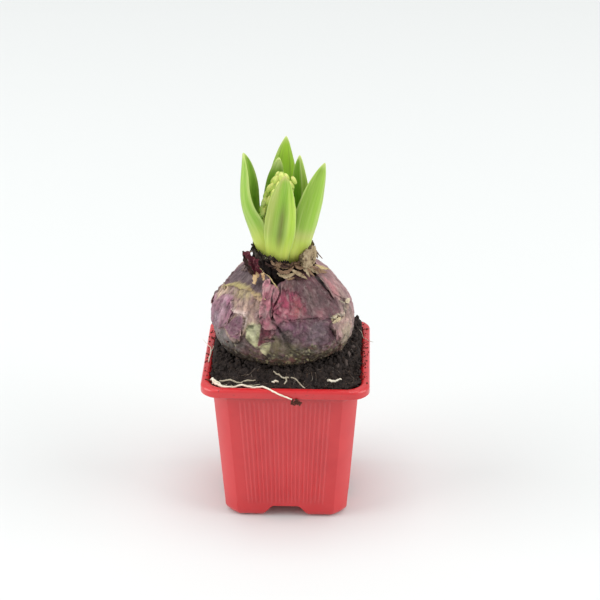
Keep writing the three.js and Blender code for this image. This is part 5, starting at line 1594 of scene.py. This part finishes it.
def lump_spots(dice, on_soil):
    """Lumps heaped round the bulb, then loose ones, then those along the edge of the soil."""
    lumps = []
    for _ in range(HEAP_TRIES):
        degrees, radius = dice.uniform(-180, 180), dice.uniform(HEAP_FOOT, HEAP_FOOT + HEAP_WIDTH)
        heaped = 0.45 + bell(degrees, LEFT_FRONT, 26) + 0.8 * bell(degrees, RIGHT_HEAP, 28)
        heaped *= 1 + 0.7 * wander([[degrees / 7, 0, 0]], 96)[0]
        x, y, _ = polar(np.array([degrees]), radius, 0)[0]
        height = on_soil(x, y)
        if height is None or max(abs(x), abs(y)) > 29.5:
            continue
        z = height + dice.random() * 2.6 * heaped * (1 - (radius - HEAP_FOOT) / HEAP_WIDTH)
        if float(table_value(BULB_OUTLINE, z)) > radius + 0.6:
            continue
        place, size = np.array([x, y, z]), dice.uniform(0.5, 1.15)
        lumps.append(speck(dice, place, size, (0.7, 1), (0.6, 0.9), LUMP_KINDS))
    while len(lumps) < LUMP_COUNT:
        x, y = dice.uniform(-30.4, 30.4), dice.uniform(-30.4, 30.4)
        height = on_soil(x, y)
        if math.hypot(x - BULB_X, y - BULB_Y) < 26 or height is None or height < LOWEST_SOIL:
            continue
        size = 0.5 + 1.1 * dice.random() ** 2 if y > -20 else 0.3 + 0.3 * dice.random()
        lumps.append(speck(dice, np.array([x, y, height]), size, (0.7, 1), (0.5, 0.8), LUMP_KINDS))
    for _ in range(EDGE_TRIES):
        along, out = dice.uniform(-SOIL_EDGE, SOIL_EDGE), dice.choice((-1, 1)) * dice.uniform(29.3, 30.9)
        x, y = (along, out) if dice.random() < 0.5 else (out, along)
        past_corner = math.hypot(max(abs(x) - 24.9, 0), max(abs(y) - 24.9, 0)) > 6.0
        under_roots = y < -24 and x < 11
        if past_corner or under_roots:
            continue
        sizes = dice.uniform(0.4, 1.0) * np.array([1, 0.9, 0.8])
        place = np.array([x, y, dice.uniform(63.0, 65.2)])
        lumps.append((place, sizes, random_turns(dice), dice.randrange(LUMP_KINDS)))
    return lumps


def specks_on_rim(dice, on_pot):
    spots = []
    while len(spots) < RIM_CRUMBS:
        side = dice.choice((-1, 1, 1, -1, 0))
        if side:
            x, y = side * dice.uniform(31.0, 34.4), dice.uniform(-27, 31)
        else:
            x, y = dice.uniform(-31, 31), dice.choice((-1, 1)) * dice.uniform(31.2, 34.2)
            if y < 0 and dice.random() < 0.85:
                continue
        inward = (34.4 - max(abs(x), abs(y))) / 3.4
        if wander(np.array([[x / 2.6, y / 2.6, 3.0]]), 93)[0] < dice.gauss(0.4 - 0.6 * inward, 0.25):
            continue
        height = on_pot(x, y)
        if height is None or height < LOWEST_SOIL:
            continue
        size = 0.08 + 0.4 * dice.random() ** 3
        spots.append(speck(dice, np.array([x, y, height + 0.2 * size]), size, (0.6, 1), (0.5, 0.9)))
    return spots


def make_crumbs(finish, dust, grey, soil_top, pot):
    dice = random.Random(5)
    shapes = [crumb_shape(seed) for seed in range(CRUMB_KINDS)]
    on_soil = ground_finder(soil_top)
    crumbs = crumbs_on_soil(dice, on_soil) + crumbs_on_skin(dice)
    lumps = scatter_mesh("soil_lumps", [crumb_shape(seed, True) for seed in range(LUMP_KINDS)],
                         lump_spots(dice, on_soil))
    dress(lumps, finish, "potting_soil", angle=80)
    grit_spots = []
    for index, (x, y, size) in enumerate(GRIT):
        place = np.array([x, y, on_soil(x, y) + 0.1 * size])
        grit_spots.append((place, size * np.array([1.3, 0.9, 0.6]), random_turns(dice), index))
    grit_shapes = [crumb_shape(GRIT_SEED + seed, True) for seed in range(len(GRIT))]
    grit = scatter_mesh("soil_grit", grit_shapes, grit_spots)
    dress(grit, grey, "potting_soil", angle=60)
    rim_dust = scatter_mesh("rim_dust", shapes, specks_on_rim(dice, ground_finder(pot)))
    dress(rim_dust, dust, "potting_soil", angle=50)
    dress(scatter_mesh("soil_crumbs", shapes, crumbs), finish, "potting_soil", angle=50)


def curve_piece(name, strands, sides=1):
    """A mesh of round strands: each is its points, with a radius for each."""
    leave_all()
    data = bpy.data.curves.new(name, "CURVE")
    data.dimensions = "3D"
    data.bevel_depth = MM
    data.bevel_resolution = sides
    data.use_fill_caps = True
    for points, radii in strands:
        line = data.splines.new("POLY")
        line.points.add(len(points) - 1)
        for knot, point, radius in zip(line.points, points, radii):
            knot.co = (*(np.asarray(point) * MM), 1)
            knot.radius = radius
    piece = bpy.data.objects.new(name, data)
    bpy.context.scene.collection.objects.link(piece)
    pick(piece)
    bpy.ops.object.convert(target="MESH")
    piece = name_new(name)
    close(piece, 0.0005)
    return piece


PEAT_FIBRES, FIBRE_POINTS = 150, 8


def make_fibres_on_soil(finish, soil_top):
    dice = random.Random(9)
    on_soil = ground_finder(soil_top)
    strands = []
    while len(strands) < PEAT_FIBRES:
        x, y = dice.uniform(-30, 30), dice.uniform(-30, 30)
        if math.hypot(x - BULB_X, y - BULB_Y) < 25:
            continue
        heading, length = dice.uniform(0, FULL_TURN), dice.uniform(1.2, 5.5)
        bend = dice.uniform(-1.2, 1.2)
        points = []
        for i in range(FIBRE_POINTS):
            share = i / (FIBRE_POINTS - 1)
            turn = heading + bend * share
            px, py = x + length * share * math.cos(turn), y + length * share * math.sin(turn)
            height = on_soil(px, py) if max(abs(px), abs(py)) < 30.4 else None
            if height is None or height < LOWEST_SOIL:
                break
            points.append((px, py, height + 0.12 + 0.35 * math.sin(share * 3.1) * dice.random()))
        if len(points) < 5:
            continue
        radius = dice.uniform(0.06, 0.14)
        strands.append((points, [radius * (1 - 0.6 * i / len(points)) for i in range(len(points))]))
    fibres = curve_piece("peat_fibres", strands)
    return dress(fibres, finish, "root", angle=60)


# Roots


def lay_down(route, radius, ground):
    """A root's way over what it lies on. A stop with a height of its own keeps it."""
    shares = np.linspace(0, 1, 10 * (len(route) - 1) + 1)
    stops = np.array([(*stop[:2], 0) for stop in route], float)
    line = curve_through(stops, shares)
    fixed = [len(stop) > 2 for stop in route]
    heights = []
    for share, (x, y, _) in zip(shares, line):
        before = min(int(share * (len(route) - 1)), len(route) - 2)
        if fixed[before] and fixed[before + 1]:
            part = share * (len(route) - 1) - before
            heights.append(mix(route[before][2], route[before + 1][2], part))
        else:
            near = [ground(x + dx, y + dy) or 0 for dx in (-0.4, 0, 0.4) for dy in (-0.4, 0, 0.4)]
            heights.append(max(near) + 0.55 * radius)
    heights = np.array(heights)
    line[:, 2] = np.convolve(np.pad(heights, 2, mode="edge"), np.ones(5) / 5, mode="valid")
    return line


def make_root(name, nodes, tubes, finish, ground, seed):
    strands = []
    for route, radii in tubes:
        line = lay_down(route, max(radii), ground)
        shares = np.linspace(0, 1, len(line))
        thick = np.interp(shares, np.linspace(0, 1, len(radii)), radii)
        along = np.column_stack([shares * len(route) * 1.3, 0 * shares + seed, 0 * shares])
        strands.append((line + 0.16 * np.stack([wander(along * 2 + i * 5, 81) for i in range(3)], 1),
                        thick * (1 + 0.3 * wander(along * 2, 80))))
    root = curve_piece(name, strands, sides=3)
    return dress(root, finish, "root", *nodes, angle=70)


ROOTS = [
    ("root_long_fine", "root_long", "white", [
        ([(-30.2, -24.6), (-29.3, -27.4), (-27.7, -29.3), (-25.2, -30.2), (-21.2, -30.4), (-17.3, -30.2),
          (-12.6, -31.3), (-8.4, -32.6, 65.8), (-5.2, -34.4, 65.4), (-2.8, -35.5, 64.6), (0.4, -35.7, 63.2),
          (3.2, -35.8, 61.8)], (0.5, 0.6, 0.55, 0.4, 0.42, 0.4, 0.42, 0.4, 0.38, 0.36, 0.36, 0.3)),
        ([(-31.0, -24.4), (-29.8, -25.4), (-28.6, -26.0), (-28.0, -27.8)], (0.35, 0.5, 0.45, 0.3)),
        ([(-30.2, -26.6), (-28.8, -26.6), (-27.6, -27.8), (-26.2, -29.4)], (0.3, 0.42, 0.4, 0.3)),
    ]),
    ("root_second_fine", "root_second", "greyish", [
        ([(-27.2, -25.6), (-23.2, -26.2), (-18.5, -26.8), (-14.8, -26.8), (-12.2, -27.5)],
         (0.3, 0.42, 0.36, 0.4, 0.2)),
        ([(-26.6, -28.6), (-23.0, -29.0), (-18.6, -29.3), (-13.4, -29.7), (-10.2, -30.4)],
         (0.16, 0.24, 0.2, 0.22, 0.1)),
    ]),
    ("root_forked_fine", "root_forked", "greyish", [
        ([(-4.9, -25.7), (-2.3, -26.4), (1, -26.8), (3.5, -27.4), (6, -28.3), (8.3, -30.1)],
         (0.3, 0.34, 0.36, 0.28, 0.26, 0.2)),
        ([(0.4, -26.4), (0.6, -28.3), (-0.5, -30.3)], (0.36, 0.3, 0.2)),
    ]),
    ("root_hooked_fine", "root_hooked", "white", [
        ([(-36.6, 7.4, 67.4), (-34.8, 5.4, 66.0), (-33.0, 3.0, 65.5), (-32.6, -0.6), (-32.8, -5.2),
          (-33, -9.4)], (0.08, 0.14, 0.22, 0.3, 0.3, 0.16)),
        ([(-31.8, 3.6), (-32.4, 1.2), (-32.8, -2.0)], (0.12, 0.2, 0.14)),
    ]),
    ("root_stub_fine", "root_stub", "white", [
        ([(17.7, -25.6), (20.0, -23.9), (23.1, -21.8)], (0.55, 1.0, 0.8)),
        ([(18.6, -25.6), (21.0, -24.2), (22.8, -23.4)], (0.4, 0.75, 0.3)),
    ]),
    ("root_grain", None, "white", [([(-5.4, -28.9), (-4.0, -28.7), (-2.6, -29.0)], (0.3, 0.5, 0.3))]),
    ("root_hairs_dry", None, "dry", [
        ([(10.6, -23.6), (11.2, -24.8), (10.4, -26.2)], (0.1, 0.14, 0.08)),
        ([(-12.4, -24.0), (-15.8, -24.4), (-18.4, -23.4)], (0.08, 0.12, 0.06)),
        ([(26.0, -18.0), (28.8, -21.0), (29.6, -24.6)], (0.08, 0.12, 0.06)),
        ([(24.0, -27.4), (27.0, -28.6), (29.2, -27.0)], (0.08, 0.12, 0.06)),
    ]),
    ("root_hairs", None, "greyish", [
        ([(30.4, 17.0), (32.6, 14.6, 65.6), (34.6, 12.0, 65.5), (36.4, 9.6, 66.2)], (0.1, 0.14, 0.12, 0.06)),
    ]),
]


def make_roots(ground, dry):
    finishes = {"dry": dry, "white": root_finish("white_root", shade(236, 228, 208), shade(166, 144, 116)),
                "greyish": root_finish("greyish_root", shade(178, 168, 146), shade(104, 88, 70))}
    for seed, (name, node, kind, tubes) in enumerate(ROOTS):
        make_root(name, [node] if node else [], tubes, finishes[kind], ground, seed)


CLOD_CRUMBS, CLOD_SEED = 120, 8
CLOD_PLACE, CLOD_HALVES = (4.9, -35.6, 60.4), (2.3, 0.55, 1.6)
POT_WALL_Y = -35.15  # no crumb of the clod goes further back than this


def make_clod(finish):
    """The crumbly lump of soil at the long root's hanging end."""
    dice = random.Random(3)
    shapes = [crumb_shape(CLOD_SEED + seed) for seed in range(CRUMB_KINDS)]
    spots = []
    for _ in range(CLOD_CRUMBS):
        way = unit(np.array([dice.gauss(0, 1), dice.gauss(0, 1), dice.gauss(0, 1)]))
        size = dice.uniform(0.16, 0.56)
        place = np.array(CLOD_PLACE) + way * np.array(CLOD_HALVES) * dice.random() ** 0.9
        place[1] = min(place[1], POT_WALL_Y - 0.4 * size)
        spots.append((place, size * np.array([1, 0.7, 0.8]), random_turns(dice), dice.randrange(CRUMB_KINDS)))
    clod = scatter_mesh("clod_crumbs", shapes, spots)
    return dress(clod, finish, "potting_soil", "root_clod", angle=50)


# Stage, light and camera

CAMERA_PLACE, CAMERA_WAY = (30.12, -759.89, 445.57), (-0.02959, 0.90540, -0.42353)
LENS, SENSOR = 120, 36
FLOOR_SIZE, FLOOR_COLOUR = 40, (0.735, 0.755, 0.75, 1)
WORLD_STRENGTH = 0.62
# Soft lamps, all turned to the plant: name, place in metres, power in watts and size in metres
LAMPS = [
    ("left_box", (-1.5, -0.3, 0.84), 17.5, 1.4), ("right_box", (1.5, -0.3, 0.84), 16.0, 1.4),
    ("top_box", (0.0, 0.1, 2.2), 17.0, 1.6),
]
LIT_PLACE = (0, 0, 0.08)


def make_camera():
    data = bpy.data.cameras.new("view")
    data.lens = LENS
    data.sensor_width = SENSOR
    camera = bpy.data.objects.new("view", data)
    camera.location = Vector(CAMERA_PLACE) * MM
    camera.rotation_euler = Vector(CAMERA_WAY).to_track_quat("-Z", "Y").to_euler()
    bpy.context.scene.collection.objects.link(camera)
    bpy.context.scene.camera = camera


def make_stage():
    leave_all()
    bpy.ops.mesh.primitive_plane_add(size=FLOOR_SIZE)
    floor = name_new("floor")
    material, _, shader = begin("pale_floor", 0.9)
    shader.inputs["Base Color"].default_value = FLOOR_COLOUR
    floor.data.materials.append(material)


def soft_light(name, place, power, size):
    data = bpy.data.lights.new(name, "AREA")
    data.energy, data.size = power, size
    lamp = bpy.data.objects.new(name, data)
    lamp.location = place
    lamp.rotation_euler = (Vector(LIT_PLACE) - lamp.location).to_track_quat("-Z", "Y").to_euler()
    bpy.context.scene.collection.objects.link(lamp)


def make_light():
    world = bpy.data.worlds.new("studio")
    world.use_nodes = True
    background = world.node_tree.nodes["Background"]
    background.inputs["Color"].default_value = (1, 1, 1, 1)
    background.inputs["Strength"].default_value = WORLD_STRENGTH
    bpy.context.scene.world = world
    bpy.context.scene.view_settings.view_transform = "Standard"
    for lamp in LAMPS:
        soft_light(*lamp)


make_camera()
make_stage()
make_light()

plastic = pot_plastic()
peat = soil_finish()
brown_peat = soil_finish("brown_peat", shade(86, 54, 46), shade(44, 28, 25), shade(140, 100, 88))
grey_grit = soil_finish("grey_grit", shade(92, 82, 78), shade(46, 40, 38), shade(150, 138, 130))
dry_root = root_finish("dry_fibre", shade(84, 68, 56), shade(46, 36, 31))
pot = make_pot(plastic)
tunic = bulb_skin_finish()
make_bulb(tunic)
make_flakes(tunic)
papery = {kind: papery_finish(name, *(shade(*tint) for tint in tints), share)
          for kind, (name, *tints, share) in PAPERY.items()}
make_neck(papery)
make_shreds(papery)
make_flaps(papery)
make_leaves(leaf_finish())
make_bud(bud_finish())
soil_top = make_soil(peat)
make_crumbs(peat, brown_peat, grey_grit, soil_top, pot)
make_fibres_on_soil(dry_root, soil_top)
make_roots(ground_finder(soil_top, pot), dry_root)
make_clod(brown_peat)

leave_all()
